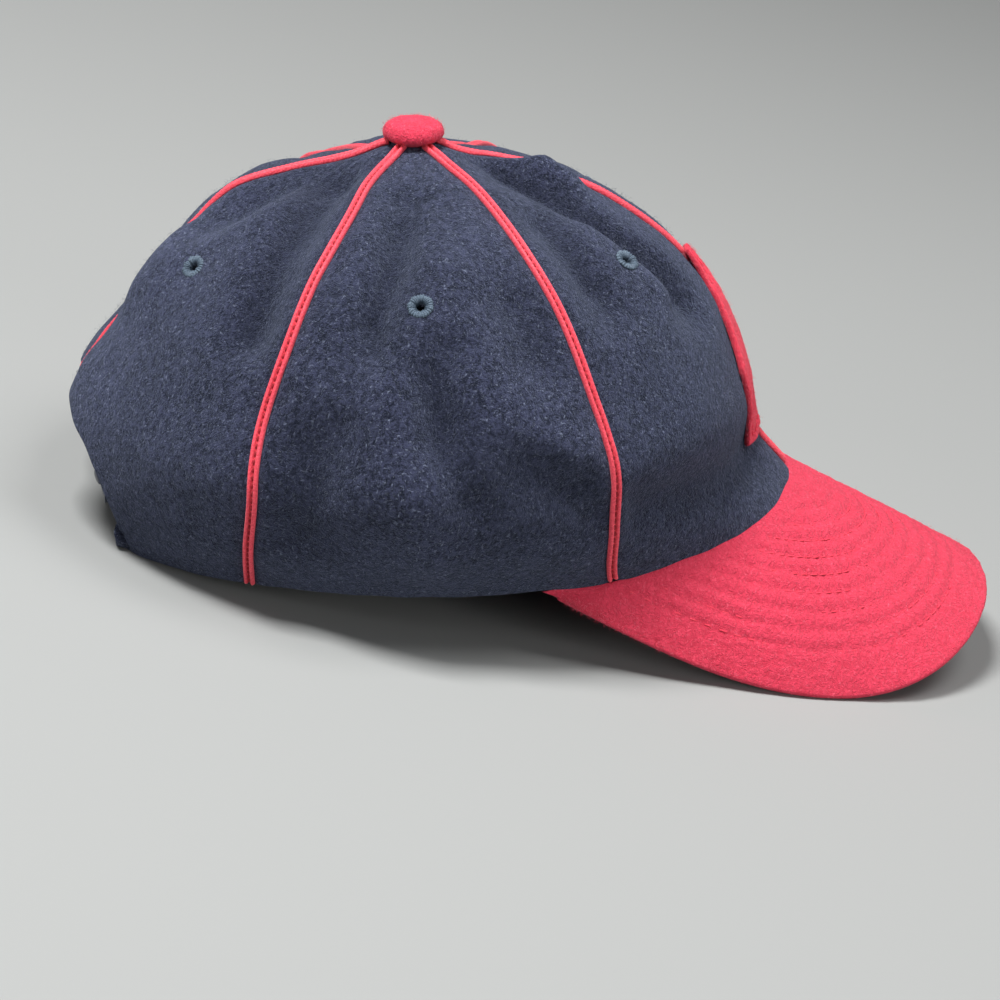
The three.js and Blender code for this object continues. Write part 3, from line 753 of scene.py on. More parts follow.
# Each gore as it is cut, within its seams: width and length in mm, and area in square mm
PANEL_CUT = {"front": (91, 155, 9850), "side": (99, 154, 10450), "back": (96, 153, 8650)}
print("panels to make:", 2 * len(PLACES))


# %% One panel
def panel_columns(place):
    """Angle and lowest way of each column; the back panel's last columns follow the arch as a quarter
    ellipse, the angle on its cosine and the way on its sine."""
    low, high = np.radians(PLACES[place]) + np.radians((SEAM_CLEAR, -SEAM_CLEAR))
    if place != "back":
        return np.linspace(low, high, PANEL_COLUMNS), np.zeros(PANEL_COLUMNS)
    half = np.radians(ARCH_CLOTH_ANGLE)
    straight = np.linspace(low, np.pi - half, PANEL_COLUMNS * 4 // 10, endpoint=False)
    turn = np.linspace(0, np.pi / 2, PANEL_COLUMNS - len(straight))
    arch = np.minimum(np.pi - half * np.cos(turn), high)
    return np.concatenate([straight, arch]), np.concatenate([0 * straight, ARCH_WAY * np.sin(turn)])


def panel(place, hand):
    """A gore of cloth: rows from the rim to the button, its border drawn in a little and then carried round a
    half circle from the outer layer to the inner one. A fourth column keeps how hollow each point lies."""
    angle, start = panel_columns(place)
    if hand == "left":
        angle, start = -angle[::-1], start[::-1]
    share = np.linspace(0, 1, PANEL_ROWS)[:, None]
    way = start + (WAY_TOP - start) * share
    outer = cloth(np.broadcast_to(angle, way.shape), way)
    border_normal = surface_normals(outer)[0]
    away = unit(np.cross(border_normal, np.gradient(outer[0], axis=0)))
    from_border = (way - start) * CLOTH_LENGTH
    outer = outer - away * (RIM_DRAWN_IN * bell(from_border, RIM_DRAWN_WIDTH))[..., None]
    normals = surface_normals(outer)
    core = outer[0] - normals[0] * CLOTH / 2
    bend = HEM_STEPS[:, None, None]
    hem_out = core + CLOTH / 2 * (np.cos(bend) * normals[0] + np.sin(bend) * away)
    hem_in = core + CLOTH / 2 * (np.sin(bend) * away - np.cos(bend) * normals[0])
    inner = outer - normals * CLOTH
    rows = PANEL_ROWS + len(HEM_STEPS)
    # How hollow each point lies goes to the tone attribute, which paints shade into the wool's colour in the
    # folds
    depth = hollow(np.broadcast_to(angle, way.shape), way)
    depth = np.concatenate([np.repeat(depth[:1], len(HEM_STEPS), 0), depth])[..., None]
    outer = np.concatenate([np.concatenate([hem_out, outer]), depth], -1).reshape(-1, 4)
    inner = np.concatenate([np.concatenate([hem_in, inner]), -depth], -1).reshape(-1, 4)
    faces = grid_faces(rows, PANEL_COLUMNS)
    degrees, at = EYELETS[place]
    vent = cloth(np.array(np.radians(degrees) * (1 if hand == "right" else -1)), np.array(at))
    clear = np.linalg.norm(outer[faces, :3].mean(1) - vent, axis=1) > VENT_RADIUS
    return tidy(*closed_wall(outer, inner, faces[clear]))


print("rows and columns of a panel:", PANEL_ROWS, PANEL_COLUMNS)

# %% All six panels
panels = {}
for hand in ("right", "left"):
    for place in PLACES:
        name = f"panel_{place}_{hand}"
        points, faces = panel(place, hand)
        made = piece(f"wool_{name}", points[:, :3], faces, navy_wool, [name], points[:, 3])
        width, length, area = PANEL_CUT[place]
        flat = width / 1000, length / 1000
        panels[name] = made
print("panels:", len(panels), "triangles:", sum(map(triangles, panels.values())))

# %% [markdown]
# ## Braid over the seams
# A soutache braid has two round ribs with a groove between them, where it is sewn down. A curve with a bevel
# would twist on the way up, so the section is carried along the seam: across the seam, and up along
# the cloth's normal. Crossing strands make a fine herringbone on each rib, and every two millimetres a
# stitch lies in the groove.


# %% Carrying a section along a path
def sweep(path, up, section):
    """Points of a closed section (across, height) at each step of a path, and its sides and end caps."""
    along = unit(np.gradient(path, axis=0))
    across = unit(np.cross(up, along))
    points = path[:, None] + across[:, None] * section[..., :1] + up[:, None] * section[..., 1:]
    steps, ring = points.shape[:2]
    sides = grid_faces(steps, ring, wrap=True)
    caps = np.stack([np.arange(ring)[::-1], np.arange(ring) + (steps - 1) * ring])
    return points.reshape(-1, 3), [sides, caps[:, ::-1]]


def evenly(path, step):
    """Shares along a path's samples that lie one step apart, measured along the path."""
    length = np.concatenate([[0], np.cumsum(np.linalg.norm(np.diff(path, axis=0), axis=1))])
    count = max(int(length[-1] / step), 2)
    return np.interp(np.linspace(0, length[-1], count + 1), length, np.linspace(0, 1, len(path))), length[-1]


STITCH_RINGS = np.array((-1, -0.75, 0, 0.75, 1))
STITCH_SIDES = np.radians(np.arange(0, 360, 60))
STITCH_THINS = 0.88


def stitches(centres, along, up, length, radius, bow):
    """Short threads: six-sided rings that thin to the ends, on a line that bows up by 1 - t squared."""
    side = unit(np.cross(along, up))
    t = STITCH_RINGS[None, :, None, None]
    line = centres[:, None, None] + along[:, None, None] * t * length / 2
    line = line + up[:, None, None] * bow * (1 - t**2)
    thick = radius * np.sqrt(1 - STITCH_THINS * t**2)
    round_ = np.cos(STITCH_SIDES)[None, None, :, None] * side[:, None, None]
    round_ = round_ + np.sin(STITCH_SIDES)[None, None, :, None] * up[:, None, None]
    points = line + thick * round_
    rings, ring = len(STITCH_RINGS), len(STITCH_SIDES)
    offset = (np.arange(len(centres)) * rings * ring)[:, None, None]
    sides = (grid_faces(rings, ring, wrap=True) + offset).reshape(-1, 4)
    ends = np.stack([np.arange(ring), np.arange(ring)[::-1] + (rings - 1) * ring])
    return points.reshape(-1, 3), [sides, (ends + offset).reshape(-1, ring)]


STITCH_CORNERS = len(STITCH_RINGS) * len(STITCH_SIDES)
print("corners of one stitch:", STITCH_CORNERS)

# %% Sizes of the tapes
TAPE_HALF_WIDTH = 1.42
TAPE_SUNK = 0.35
RIB_MIDDLE, RIB_HALF = 0.6, 0.4
GROOVE_HEIGHT, RIB_HEIGHT, SIDE_HEIGHT = 0.3, 0.8, 0.1
STRAND_LENGTH, STRAND_SLANT, STRAND_DEPTH = 1.25, 0.9, 0.07
FOOT_SHARE = 0.95
TAPE_TOP_WAY = 0.905
TAPE_STEP = 0.42
SEAM_SAMPLES = 500
TAPE_RAISED = 0.45
TAPE_TUCK = 1.6
TAPE_STITCH = 2.0
TAPE_SEWN_FROM, TAPE_SEWN_SHORT = 2.5, 9
TAPE_STITCH_HEIGHT = 0.85
WAY_STEP = 0.004
TAPE_THREAD = {"length": 1.5, "radius": 0.34, "bow": 0.12}
# The tape under the patch is pressed down; ways of the patch's foot, shoulder and tip
PRESSED, PRESSED_RUN = 0.75, 0.03
PATCH_LOW, PATCH_SHOULDER, PATCH_HIGH = 0.09, 0.24, 0.46
# Angle in degrees and lowest way of each tape
TAPES = {
    "tape_front": (0, 0.005),
    "tape_front_right": (60, 0.005),
    "tape_front_left": (-60, 0.005),
    "tape_back_right": (120, 0.0),
    "tape_back_left": (-120, 0.0),
    "tape_back": (180, ARCH_WAY),
}
print("tapes to make:", len(TAPES))


# %% The braid's section and its line
def braid_section(distance):
    """Two half circles side by side on a flat foot; a fine herringbone moves in and out along the braid."""
    a = np.linspace(-1, 1, 19)
    rib = np.sqrt(np.maximum(1 - ((np.abs(a) - RIB_MIDDLE) / RIB_HALF) ** 2, 0))
    height = GROOVE_HEIGHT + RIB_HEIGHT * rib
    height[[0, -1]] = SIDE_HEIGHT
    strand = np.sin(2 * np.pi * (distance[:, None] / STRAND_LENGTH - np.abs(a) * STRAND_SLANT))
    top = np.stack(np.broadcast_arrays(a * TAPE_HALF_WIDTH, height + STRAND_DEPTH * strand * rib), -1)
    half_foot = TAPE_HALF_WIDTH * FOOT_SHARE
    foot = np.array([(half_foot, -TAPE_SUNK), (-half_foot, -TAPE_SUNK)])
    return np.concatenate([top, np.broadcast_to(foot, (len(distance), 2, 2))], 1)


def tape_line(degrees, low):
    """A seam's angle and ways, evenly spaced along the cloth, and the length of the seam."""
    way = np.linspace(low, TAPE_TOP_WAY, SEAM_SAMPLES)
    angle = np.full(SEAM_SAMPLES, np.radians(degrees))
    share, length = evenly(cloth(angle, way), TAPE_STEP)
    return np.full(len(share), np.radians(degrees)), low + (TAPE_TOP_WAY - low) * share, length


print("points round the braid:", braid_section(np.zeros(1)).shape[1])

# %% Tapes and their stitches
for name, (degrees, low) in TAPES.items():
    angle, way, length = tape_line(degrees, low)
    up = cloth_normal(angle, way)
    distance = np.linspace(0, length, len(way))
    tucked = TAPE_TUCK * np.clip(1 - distance / TAPE_TUCK, 0, 1) ** 2
    pressed = smoothstep(way, PATCH_LOW, PATCH_LOW + PRESSED_RUN)
    pressed = pressed * (1 - smoothstep(way, PATCH_HIGH - PRESSED_RUN, PATCH_HIGH))
    pressed = PRESSED * pressed * (degrees == 0)
    path = cloth(angle, way) + (TAPE_RAISED - tucked - pressed)[:, None] * up
    points, groups = sweep(path, up, braid_section(distance))
    made = piece(f"braid_{name}", points, groups, red_braid, [name])
    spots = np.interp(np.arange(TAPE_SEWN_FROM, length - TAPE_SEWN_SHORT, TAPE_STITCH), distance, way)
    spot_angle = np.full(len(spots), np.radians(degrees))
    spot_up = cloth_normal(spot_angle, spots)
    along = unit(cloth(spot_angle, spots + WAY_STEP) - cloth(spot_angle, spots - WAY_STEP))
    centres = cloth(spot_angle, spots) + TAPE_STITCH_HEIGHT * spot_up
    points, groups = stitches(centres, along, spot_up, **TAPE_THREAD)
    piece(f"stitches_{name}", points, groups, dark_red_thread)
    print(name, "length", length.round(1), "triangles", triangles(made), "stitches", len(spots))

# %% [markdown]
# ## The covered button
# A button is a metal cap covered with a round of the same red wool, pulled tight and gathered underneath.
# Turning a profile round the axis makes it. The profile is a slightly flat dome that curls in at its edge,
# and faint gathers run up from the edge where the cloth is drawn in.

# %% Button
BUTTON_STEPS = 44
BUTTON_SIDES = 120
BUTTON_CURL = 0.42
BUTTON_SHARE, BUTTON_POWER = 0.965, 0.45
GATHERS, GATHER_DEPTH = 23, 0.012
EDGE_RISE, CURL_RISE, DOME_RISE = 0.32, 0.42, 0.68
FOOT_RADII = np.array((0.62, 0.66, 0.8))
FOOT_HEIGHTS = np.array((-3.6, -1.2, -0.7))


def button_points():
    """A dome whose radius is a power of the cosine and whose rise is the sine, with an edge that curls under
    to a narrower foot in the crown; gathers are a cosine of the angle that fades towards the top."""
    t = np.linspace(-BUTTON_CURL, 0.9995, BUTTON_STEPS - len(FOOT_RADII))[:, None] * np.pi / 2
    turn = np.linspace(0, 2 * np.pi, BUTTON_SIDES, endpoint=False)
    gathers = 1 + GATHER_DEPTH * np.cos(GATHERS * turn) * (1 - smoothstep(t, -0.3, 0.35))
    radius = BUTTON_SHARE * BUTTON_RADIUS * np.maximum(np.cos(t), 0) ** BUTTON_POWER * gathers
    rise = (EDGE_RISE + np.where(t < 0, CURL_RISE, DOME_RISE) * np.sin(t)) * BUTTON_THICK
    lumps = 0.08 * ripple(radius * np.cos(turn), radius * np.sin(turn), 4, 21)
    height = button_base - 0.2 + rise + lumps
    foot_radius = FOOT_RADII[:, None] * radius[0]
    foot_height = button_base + FOOT_HEIGHTS[:, None] + 0 * turn
    radius, height = np.concatenate([foot_radius, radius]), np.concatenate([foot_height, height])
    return np.stack([radius * np.cos(turn), radius * np.sin(turn), height], -1)


dome = button_points()
sides = grid_faces(BUTTON_STEPS, BUTTON_SIDES, wrap=True)
foot = np.arange(BUTTON_SIDES)[None]
top_ring = (np.arange(BUTTON_SIDES) + (BUTTON_STEPS - 1) * BUTTON_SIDES)[None]
groups = [sides[:, ::-1], foot[:, ::-1], top_ring]
button = piece("wool_button", dome.reshape(-1, 3), groups, red_wool, ["button"])
print("button triangles:", triangles(button))

# %% [markdown]
# ## Sewn eyelets
# A vent hole is bound with close satin stitches that run from the hole outwards over a ring. A torus with a
# bump map would look flat at its edge, so each stitch is a real ridge: the ring's section is pushed in and
# out by a cosine that goes round twenty-six times. The ring goes through the cloth and binds it inside
# as well.

# %% Eyelets
EYELET_STITCHES = 26
EYELET_SIDES = 240
EYELET_RAISED = 0.2
RIDGE, RIDGE_POWER = 0.26, 0.8
# Section of the bound ring: radius from the hole's middle, and height above the cloth
EYELET_SECTION = np.array([
    (3.3, -0.4), (3.2, -0.05), (2.95, 0.14), (2.6, 0.22), (2.25, 0.18), (1.8, 0.0),
    (1.5, -0.35), (1.32, -1.0), (1.5, -2.0), (1.9, -2.45), (2.3, -2.65), (2.7, -2.5),
    (3.0, -2.2), (2.75, -1.75), (2.1, -1.7), (2.1, -0.35),
])
# Only so many of these points are thread, which swells away from the section's middle
THREAD_POINTS = 13
SECTION_MIDDLE = np.array((2.35, -0.9))


def eyelet(angle, way):
    """The section turned round the cloth's normal; ridges follow a cosine of the turn, not quite evenly."""
    up = cloth_normal(angle, way, 0.022)[None, None]
    side = unit(np.cross(up, (0, 0, 1)))
    over = np.cross(side, up)
    turn = np.linspace(0, 2 * np.pi, EYELET_SIDES, endpoint=False)[:, None]
    ridge = 0.5 + 0.5 * np.cos(EYELET_STITCHES * turn)
    uneven = 0.12 * ripple(np.cos(turn) * 9, np.sin(turn) * 9, 5, 33)
    thread = np.where(np.arange(len(EYELET_SECTION)) < THREAD_POINTS, 1, 0)
    swell = (RIDGE * ridge**RIDGE_POWER + uneven) * thread
    direction = unit((EYELET_SECTION - SECTION_MIDDLE) * (0.6, 1))
    radius = EYELET_SECTION[:, 0] + swell * direction[:, 0]
    height = EYELET_SECTION[:, 1] + swell * direction[:, 1]
    ring = np.cos(turn)[..., None] * side + np.sin(turn)[..., None] * over
    return cloth(angle, way) + ring * radius[..., None] + up * (height + EYELET_RAISED)[..., None]


for hand, sign in (("right", 1), ("left", -1)):
    for place, (degrees, at) in EYELETS.items():
        points = eyelet(np.array(np.radians(degrees) * sign), np.array(at))
        faces = ring_faces(*points.shape[:2])
        name = f"eyelet_{place}_{hand}"
        bound = piece(f"thread_{name}", points.reshape(-1, 3), faces, blue_thread, [name])
print("eyelets of", triangles(bound), "triangles")

# %% [markdown]
# ## The bill
# The bill is a board between two layers of red wool. Rows of stitches go through all of it, side by side with
# the outer edge, and the wool swells between them. To place the rows, each point of the bill's flat pattern
# gets its distance from the outer edge. The rows are then dips at chosen distances, deeper under each stitch.

# %% Sizes of the bill
BILL_LENGTH = 66.0
BILL_TIP_ANGLE = np.radians(89.3)
BILL_FLARE = 5.0
BILL_ROUNDNESS = 0.79
BILL_THICK = 3.4
BILL_THICK_CORNER = 1.6
EDGE_DRAWN_IN, EDGE_DRAWN_WIDTH = 0.36, 3.5
EDGE_SAMPLES, EDGE_STEP = 4001, 0.5
EDGE_BENDS, EDGE_POWER = np.radians((14, 32, 50, 68, 84)), 0.6
# The bill's rows start a little behind the rim, and the face rises there to meet the crown
BILL_START, BILL_RISES = -0.025, 0.45
BILL_COLUMNS, BILL_CROWDING = 340, 0.86
BILL_ROWS = 104
ROW_SPACING = 4.9
ROW_DISTANCES = 11.0 + ROW_SPACING * np.arange(9)
ROW_STITCH, ROW_SHIFT = 4.4, 0.37
ROW_WANDER, ROW_SWELL = 0.25, 0.16
ROW_DIP, ROW_DIP_WIDTH, HOLE_DIP = 0.22, 1.2, 0.3
print("rows of stitches:", len(ROW_DISTANCES))


# %% The bill's flat pattern
def bill_flat(turn, share):
    """The flat pattern, bent straight: from the rim's curve to the outer edge, which is a wide oval."""
    corner_x, corner_y = plan(BILL_CORNER, 0.0)
    inner_x, inner_y = plan(BILL_CORNER * turn / BILL_TIP_ANGLE, 0.0)
    half = BILL_BEND * np.arcsin(-corner_x / BILL_BEND) + BILL_FLARE * np.abs(np.sin(2 * turn))
    forward = SECTIONS[0, FRONT] + corner_y + BILL_LENGTH * np.cos(BILL_SLOPE)
    outer_x = -half * np.sin(turn)
    outer_y = corner_y - forward * np.cos(turn) ** BILL_ROUNDNESS
    inner_across = BILL_BEND * np.arcsin(inner_x / BILL_BEND)
    across = inner_across + (outer_x - inner_across) * share
    return np.stack([across, inner_y + (outer_y - inner_y) * share], -1)


def bill_bent(flat, height):
    """A point of the flat pattern bent over the cylinder, and lifted by a height along the bill's normal."""
    x, y = BILL_BEND * np.sin(flat[..., 0] / BILL_BEND), flat[..., 1]
    normal = np.stack([
        x / np.sqrt(BILL_BEND**2 - x**2) / np.cos(BILL_SLOPE),
        np.full_like(x, -np.tan(BILL_SLOPE)),
        np.ones_like(x),
    ], -1)
    return np.stack([x, y, bill_top(x, y)], -1) + unit(normal) * np.asarray(height)[..., None]


print("tip of the flat pattern:", bill_flat(0.0, 1.0).round(1))

# %% The bill's outer edge
edge_turn = np.linspace(-BILL_TIP_ANGLE, BILL_TIP_ANGLE, EDGE_SAMPLES)
edge = bill_flat(edge_turn, np.ones(EDGE_SAMPLES))
edge_share, edge_length = evenly(edge, EDGE_STEP)
edge_turn = np.interp(edge_share, np.linspace(0, 1, EDGE_SAMPLES), edge_turn)
edge = bill_flat(edge_turn, np.ones(len(edge_turn)))
edge_along = unit(np.gradient(edge, axis=0))
# Distances are measured on true lengths down the slope, so the pattern is stretched before measuring
SLOPE_STRETCH = np.array((1.0, 1 / np.cos(BILL_SLOPE)))


def edge_distance(flat):
    """Distance of each point of the pattern to the nearest sample of the outer edge, and that sample."""
    spots = (flat * SLOPE_STRETCH).reshape(-1, 2)
    line = edge * SLOPE_STRETCH
    square = (spots**2).sum(1)[:, None] + (line**2).sum(1)[None] - 2 * spots @ line.T
    nearest = square.argmin(1)
    distance = np.sqrt(np.maximum(square[np.arange(len(spots)), nearest], 0))
    return distance.reshape(flat.shape[:-1]), nearest.reshape(flat.shape[:-1])


print("outer edge", edge_length.round(1), "mm, samples", len(edge))


# %% Thickness and quilting
def bill_thickness(turn):
    """Full thickness, thinner near the corners where the bill runs out."""
    return BILL_THICK_CORNER + (BILL_THICK - BILL_THICK_CORNER) * smoothstep(np.cos(turn), 0, 0.3)


def quilting(flat):
    """Dips along the stitch rows: a bell curve of the distance from the row, deeper at each needle hole, and
    a low swell between the rows."""
    distance, nearest = edge_distance(flat)
    wander = ROW_WANDER * ripple(flat[..., 0], flat[..., 1], 14, 47)
    off_row = (distance + wander)[..., None] - ROW_DISTANCES
    phase = nearest[..., None] * EDGE_STEP / ROW_STITCH + ROW_SHIFT * np.arange(len(ROW_DISTANCES))
    hole = np.maximum(-np.cos(2 * np.pi * phase), 0) ** 3
    dips = bell(off_row, ROW_DIP_WIDTH) * (ROW_DIP + HOLE_DIP * hole)
    swell = ROW_SWELL * np.sin(np.pi * (distance - ROW_DISTANCES[0]) / ROW_SPACING) ** 2
    inside = smoothstep(distance, ROW_DISTANCES[0] - 1, ROW_DISTANCES[0] + 1)
    return swell * inside - dips.sum(-1)


print("thickness in front and at a corner:", bill_thickness(np.array((0, BILL_TIP_ANGLE))).round(1))

# %% The bill's two faces and round edge
turn = BILL_TIP_ANGLE * crowded(np.linspace(-1, 1, BILL_COLUMNS), BILL_CROWDING)
turn, share = np.meshgrid(turn, np.linspace(BILL_START, 1, BILL_ROWS))
thick = bill_thickness(turn)
flat = bill_flat(turn, share)
from_edge, nearest = edge_distance(flat)
inset = bell(from_edge, EDGE_DRAWN_WIDTH)[..., None] * thick[..., None] * EDGE_DRAWN_IN
outwards = np.stack([-edge_along[nearest][..., 1], edge_along[nearest][..., 0]], -1)
middle_column = BILL_COLUMNS // 2
outwards = outwards * np.sign((outwards[-1, middle_column] * (0, -1)).sum())
drawn_in = flat - outwards * inset
across, forward = np.moveaxis(flat, -1, 0)
lumps = 0.08 * ripple(across, forward, 6, 41) + 0.07 * ripple(across, forward, 2.8, 42, 12)
lumps = lumps + 0.25 * ripple(across, forward, 40, 43)
lumps = lumps * smoothstep(share, 0.0, 0.12)
meeting = BILL_RISES * (1 - smoothstep(share, 0.0, 0.1))
face_height = quilting(flat) * smoothstep(share, 0.02, 0.1) + lumps + meeting
under_height = -thick - quilting(flat) + lumps
out_share, up_share = np.sin(EDGE_BENDS)[:, None] ** EDGE_POWER, np.cos(EDGE_BENDS)[:, None] ** EDGE_POWER
rim_flat = drawn_in[-1] + outwards[-1] * (out_share * EDGE_DRAWN_IN * thick[-1])[..., None]
rim_top = -thick[-1] / 2 * (1 - up_share) + lumps[-1]
rim_under = -thick[-1] / 2 * (1 + up_share) + lumps[-1]
top = np.concatenate([bill_bent(drawn_in, face_height), bill_bent(rim_flat, rim_top)])
under = np.concatenate([bill_bent(drawn_in, under_height), bill_bent(rim_flat, rim_under)])
faces = grid_faces(len(top), BILL_COLUMNS)
here, ahead, beside = top[0, middle_column], top[1, middle_column], top[0, middle_column + 1]
up = np.cross(ahead - here, beside - here)[2] > 0
points, faces = closed_wall(top.reshape(-1, 3), under.reshape(-1, 3), faces if up else faces[:, ::-1])
bill = piece("wool_bill", points, faces, red_wool, ["bill"])
print("bill triangles:", triangles(bill))

# %% Stitches of the bill
BILL_STITCH_SUNK = 0.42
BILL_THREAD = {"length": 2.4, "radius": 0.22, "bow": 0.1}
ROW_TOLERANCE = 0.8
CLEAR_OF_RIM = 1.5
INNER_SAMPLES = 800

row_points, row_groups, total = [], [], 0
inner_turn = np.linspace(-BILL_TIP_ANGLE, BILL_TIP_ANGLE, INNER_SAMPLES)
inner_half = bill_flat(inner_turn, np.zeros(INNER_SAMPLES))[INNER_SAMPLES // 2:]
edge_mm = np.arange(len(edge)) * EDGE_STEP
for number, distance in enumerate(ROW_DISTANCES):
    beats = np.arange(1 - (ROW_SHIFT * number) % 1, edge_length / ROW_STITCH) * ROW_STITCH
    beat_edge = np.stack([np.interp(beats, edge_mm, edge[:, i]) for i in (0, 1)], -1)
    beat_along = unit(np.stack([np.interp(beats, edge_mm, edge_along[:, i]) for i in (0, 1)], -1))
    beat_in = np.stack([beat_along[:, 1], -beat_along[:, 0]], -1)
    beat_in = beat_in * np.sign(beat_in[len(beats) // 2, 1])
    normal = unit(beat_in / SLOPE_STRETCH)
    spots = beat_edge + normal * distance / np.linalg.norm(normal * SLOPE_STRETCH, axis=1, keepdims=True)
    true_distance, _ = edge_distance(spots)
    behind = np.interp(np.abs(spots[:, 0]), np.abs(inner_half[:, 0]), inner_half[:, 1])
    on_row = np.abs(true_distance - distance) < ROW_TOLERANCE
    keep = on_row & (spots[:, 1] < behind - CLEAR_OF_RIM)
    spots, heading = spots[keep], beat_along[keep]
    for depth in (-BILL_STITCH_SUNK, -BILL_THICK + BILL_STITCH_SUNK):
        centre = bill_bent(spots, np.full(len(spots), depth))
        ahead = bill_bent(spots + heading * 0.5, np.full(len(spots), depth))
        lifted = bill_bent(spots, np.full(len(spots), depth + 1.0 if depth > -1 else depth - 1.0))
        sewn, groups = stitches(centre, unit(ahead - centre), unit(lifted - centre), **BILL_THREAD)
        row_groups.append([g + total for g in groups])
        row_points.append(sewn)
        total += len(sewn)
groups = [np.concatenate([g[i] for g in row_groups]) for i in (0, 1)]
piece("stitches_bill", np.concatenate(row_points), groups, red_thread)
print("stitches on the bill:", total // STITCH_CORNERS)

# %% [markdown]
# ## The felt patch
# On the front sits a plain patch of red felt that tapers to a blunt tip, cut with a sharp knife and sewn
# down near its edge. Felt is thick and has no fold, so its face stays level and only its edges soften. It
# lies on the cloth and rises over the braid in the middle.

# %% The patch's outline
PATCH_HALF_WIDTH = 18.5
PATCH_TIP_HALF_WIDTH = 2.5
PATCH_THICK = 1.5
PATCH_COLUMNS, PATCH_CROWDING = 90, 0.94
PATCH_ROWS = 110
PATCH_LIFT, BRAID_RIDGE = 0.03, 0.95
RIDGE_FULL, RIDGE_GONE = 1.6, 7
SEW_INSIDE, SEW_DIP, SEW_DIP_WIDTH = 2.4, 0.35, 0.8
PATCH_EDGE_DROP, PATCH_EDGE_WIDTH = 0.4, 0.45


def patch_half_width(way):
    """Full width up to the shoulder, then a straight taper to the tip."""
    ways = PATCH_LOW, PATCH_SHOULDER, PATCH_HIGH
    return np.interp(way, ways, (PATCH_HALF_WIDTH, PATCH_HALF_WIDTH, PATCH_TIP_HALF_WIDTH))


def patch_points(u, way, height):
    """A place on the patch, u from edge to edge, at a height above cloth and braid."""
    x = u * patch_half_width(way)
    angle = np.arcsin(np.clip(x / reach(SIDE, way), -1, 1))
    ridge = 1 - smoothstep(np.abs(x), RIDGE_FULL, RIDGE_GONE)
    lift = PATCH_LIFT + BRAID_RIDGE * ridge + height
    return crown(angle, way) + cloth_normal(angle, way) * np.asarray(lift)[..., None]


def patch_inside(u, way):
    """Distance in mm from the nearest edge."""
    taper = (PATCH_HIGH - PATCH_SHOULDER) * CLOTH_LENGTH
    lean_share = taper / np.hypot(PATCH_HALF_WIDTH - PATCH_TIP_HALF_WIDTH, taper)
    side = (1 - np.abs(u)) * patch_half_width(way) * np.where(way > PATCH_SHOULDER, lean_share, 1)
    return np.minimum(side, np.minimum(way - PATCH_LOW, PATCH_HIGH - way) * CLOTH_LENGTH)


print("breadth at the tip:", 2 * patch_half_width(PATCH_HIGH), "mm")

# %% Patch
u = crowded(np.linspace(-1, 1, PATCH_COLUMNS), PATCH_CROWDING)
w = np.linspace(0, 1, PATCH_ROWS)
w = PATCH_LOW + (PATCH_HIGH - PATCH_LOW) * (w - np.sin(2 * np.pi * w) * 0.9 / (2 * np.pi))
u, way = np.meshgrid(u, w)
inside = patch_inside(u, way)
sewn_dip = SEW_DIP * bell(inside - SEW_INSIDE, SEW_DIP_WIDTH)
to_edge = np.clip(inside / PATCH_EDGE_WIDTH, 0, 1)
round_edge = PATCH_EDGE_DROP * (1 - np.sqrt(1 - (1 - to_edge) ** 2))
uneven = 0.1 * ripple(u * 20, way * 150, 5, 51)
felt_top = patch_points(u, way, PATCH_THICK - round_edge - sewn_dip + uneven)
felt_under = patch_points(u, way, np.zeros_like(way))
faces = grid_faces(PATCH_ROWS, PATCH_COLUMNS)
points, faces = closed_wall(felt_top.reshape(-1, 3), felt_under.reshape(-1, 3), faces)
patch = piece("felt_front_patch", points, faces, red_felt, ["front_patch"])
print("patch triangles:", triangles(patch))

# %% Stitches of the patch
PATCH_STITCH = 2.6
PATCH_STITCH_SUNK = 0.22
PATCH_THREAD = {"length": 2.1, "radius": 0.26, "bow": 0.1}
ends = np.array([
    (-PATCH_HALF_WIDTH, PATCH_LOW),
    (PATCH_HALF_WIDTH, PATCH_LOW),
    (PATCH_HALF_WIDTH, PATCH_SHOULDER),
    (PATCH_TIP_HALF_WIDTH, PATCH_HIGH),
    (-PATCH_TIP_HALF_WIDTH, PATCH_HIGH),
    (-PATCH_HALF_WIDTH, PATCH_SHOULDER),
])
flat_ends = ends * (1, CLOTH_LENGTH)
before = unit(np.roll(flat_ends, 1, 0) - flat_ends)
after = unit(np.roll(flat_ends, -1, 0) - flat_ends)
turn_in = unit(before + after)
half_angle = np.arccos(np.clip((before * after).sum(1), -1, 1)) / 2
sew_line = flat_ends + turn_in * (SEW_INSIDE / np.sin(half_angle))[:, None]
sew_line = np.concatenate([sew_line, sew_line[:1]])
share, length = evenly(sew_line, PATCH_STITCH)
spots = np.stack([np.interp(share, np.linspace(0, 1, len(sew_line)), sew_line[:, i]) for i in (0, 1)], -1)
centres, heading = (spots[1:] + spots[:-1]) / 2, unit(spots[1:] - spots[:-1])


def on_patch(flat_spots, height):
    """A place of the patch's flat pattern, at a height above its underside."""
    at = flat_spots[:, 1] / CLOTH_LENGTH
    return patch_points(flat_spots[:, 0] / patch_half_width(at), at, np.full(len(at), height))


sew_height = PATCH_THICK - PATCH_STITCH_SUNK
centre = on_patch(centres, sew_height)
along = unit(on_patch(centres - heading * 0.4, sew_height) - on_patch(centres + heading * 0.4, sew_height))
up = unit(on_patch(centres, sew_height + 1) - centre)
points, groups = stitches(centre, along, up, **PATCH_THREAD)
piece("stitches_front_patch", points, groups, red_thread)
print("stitches on the patch:", len(centres), "line", length.round(1), "mm")

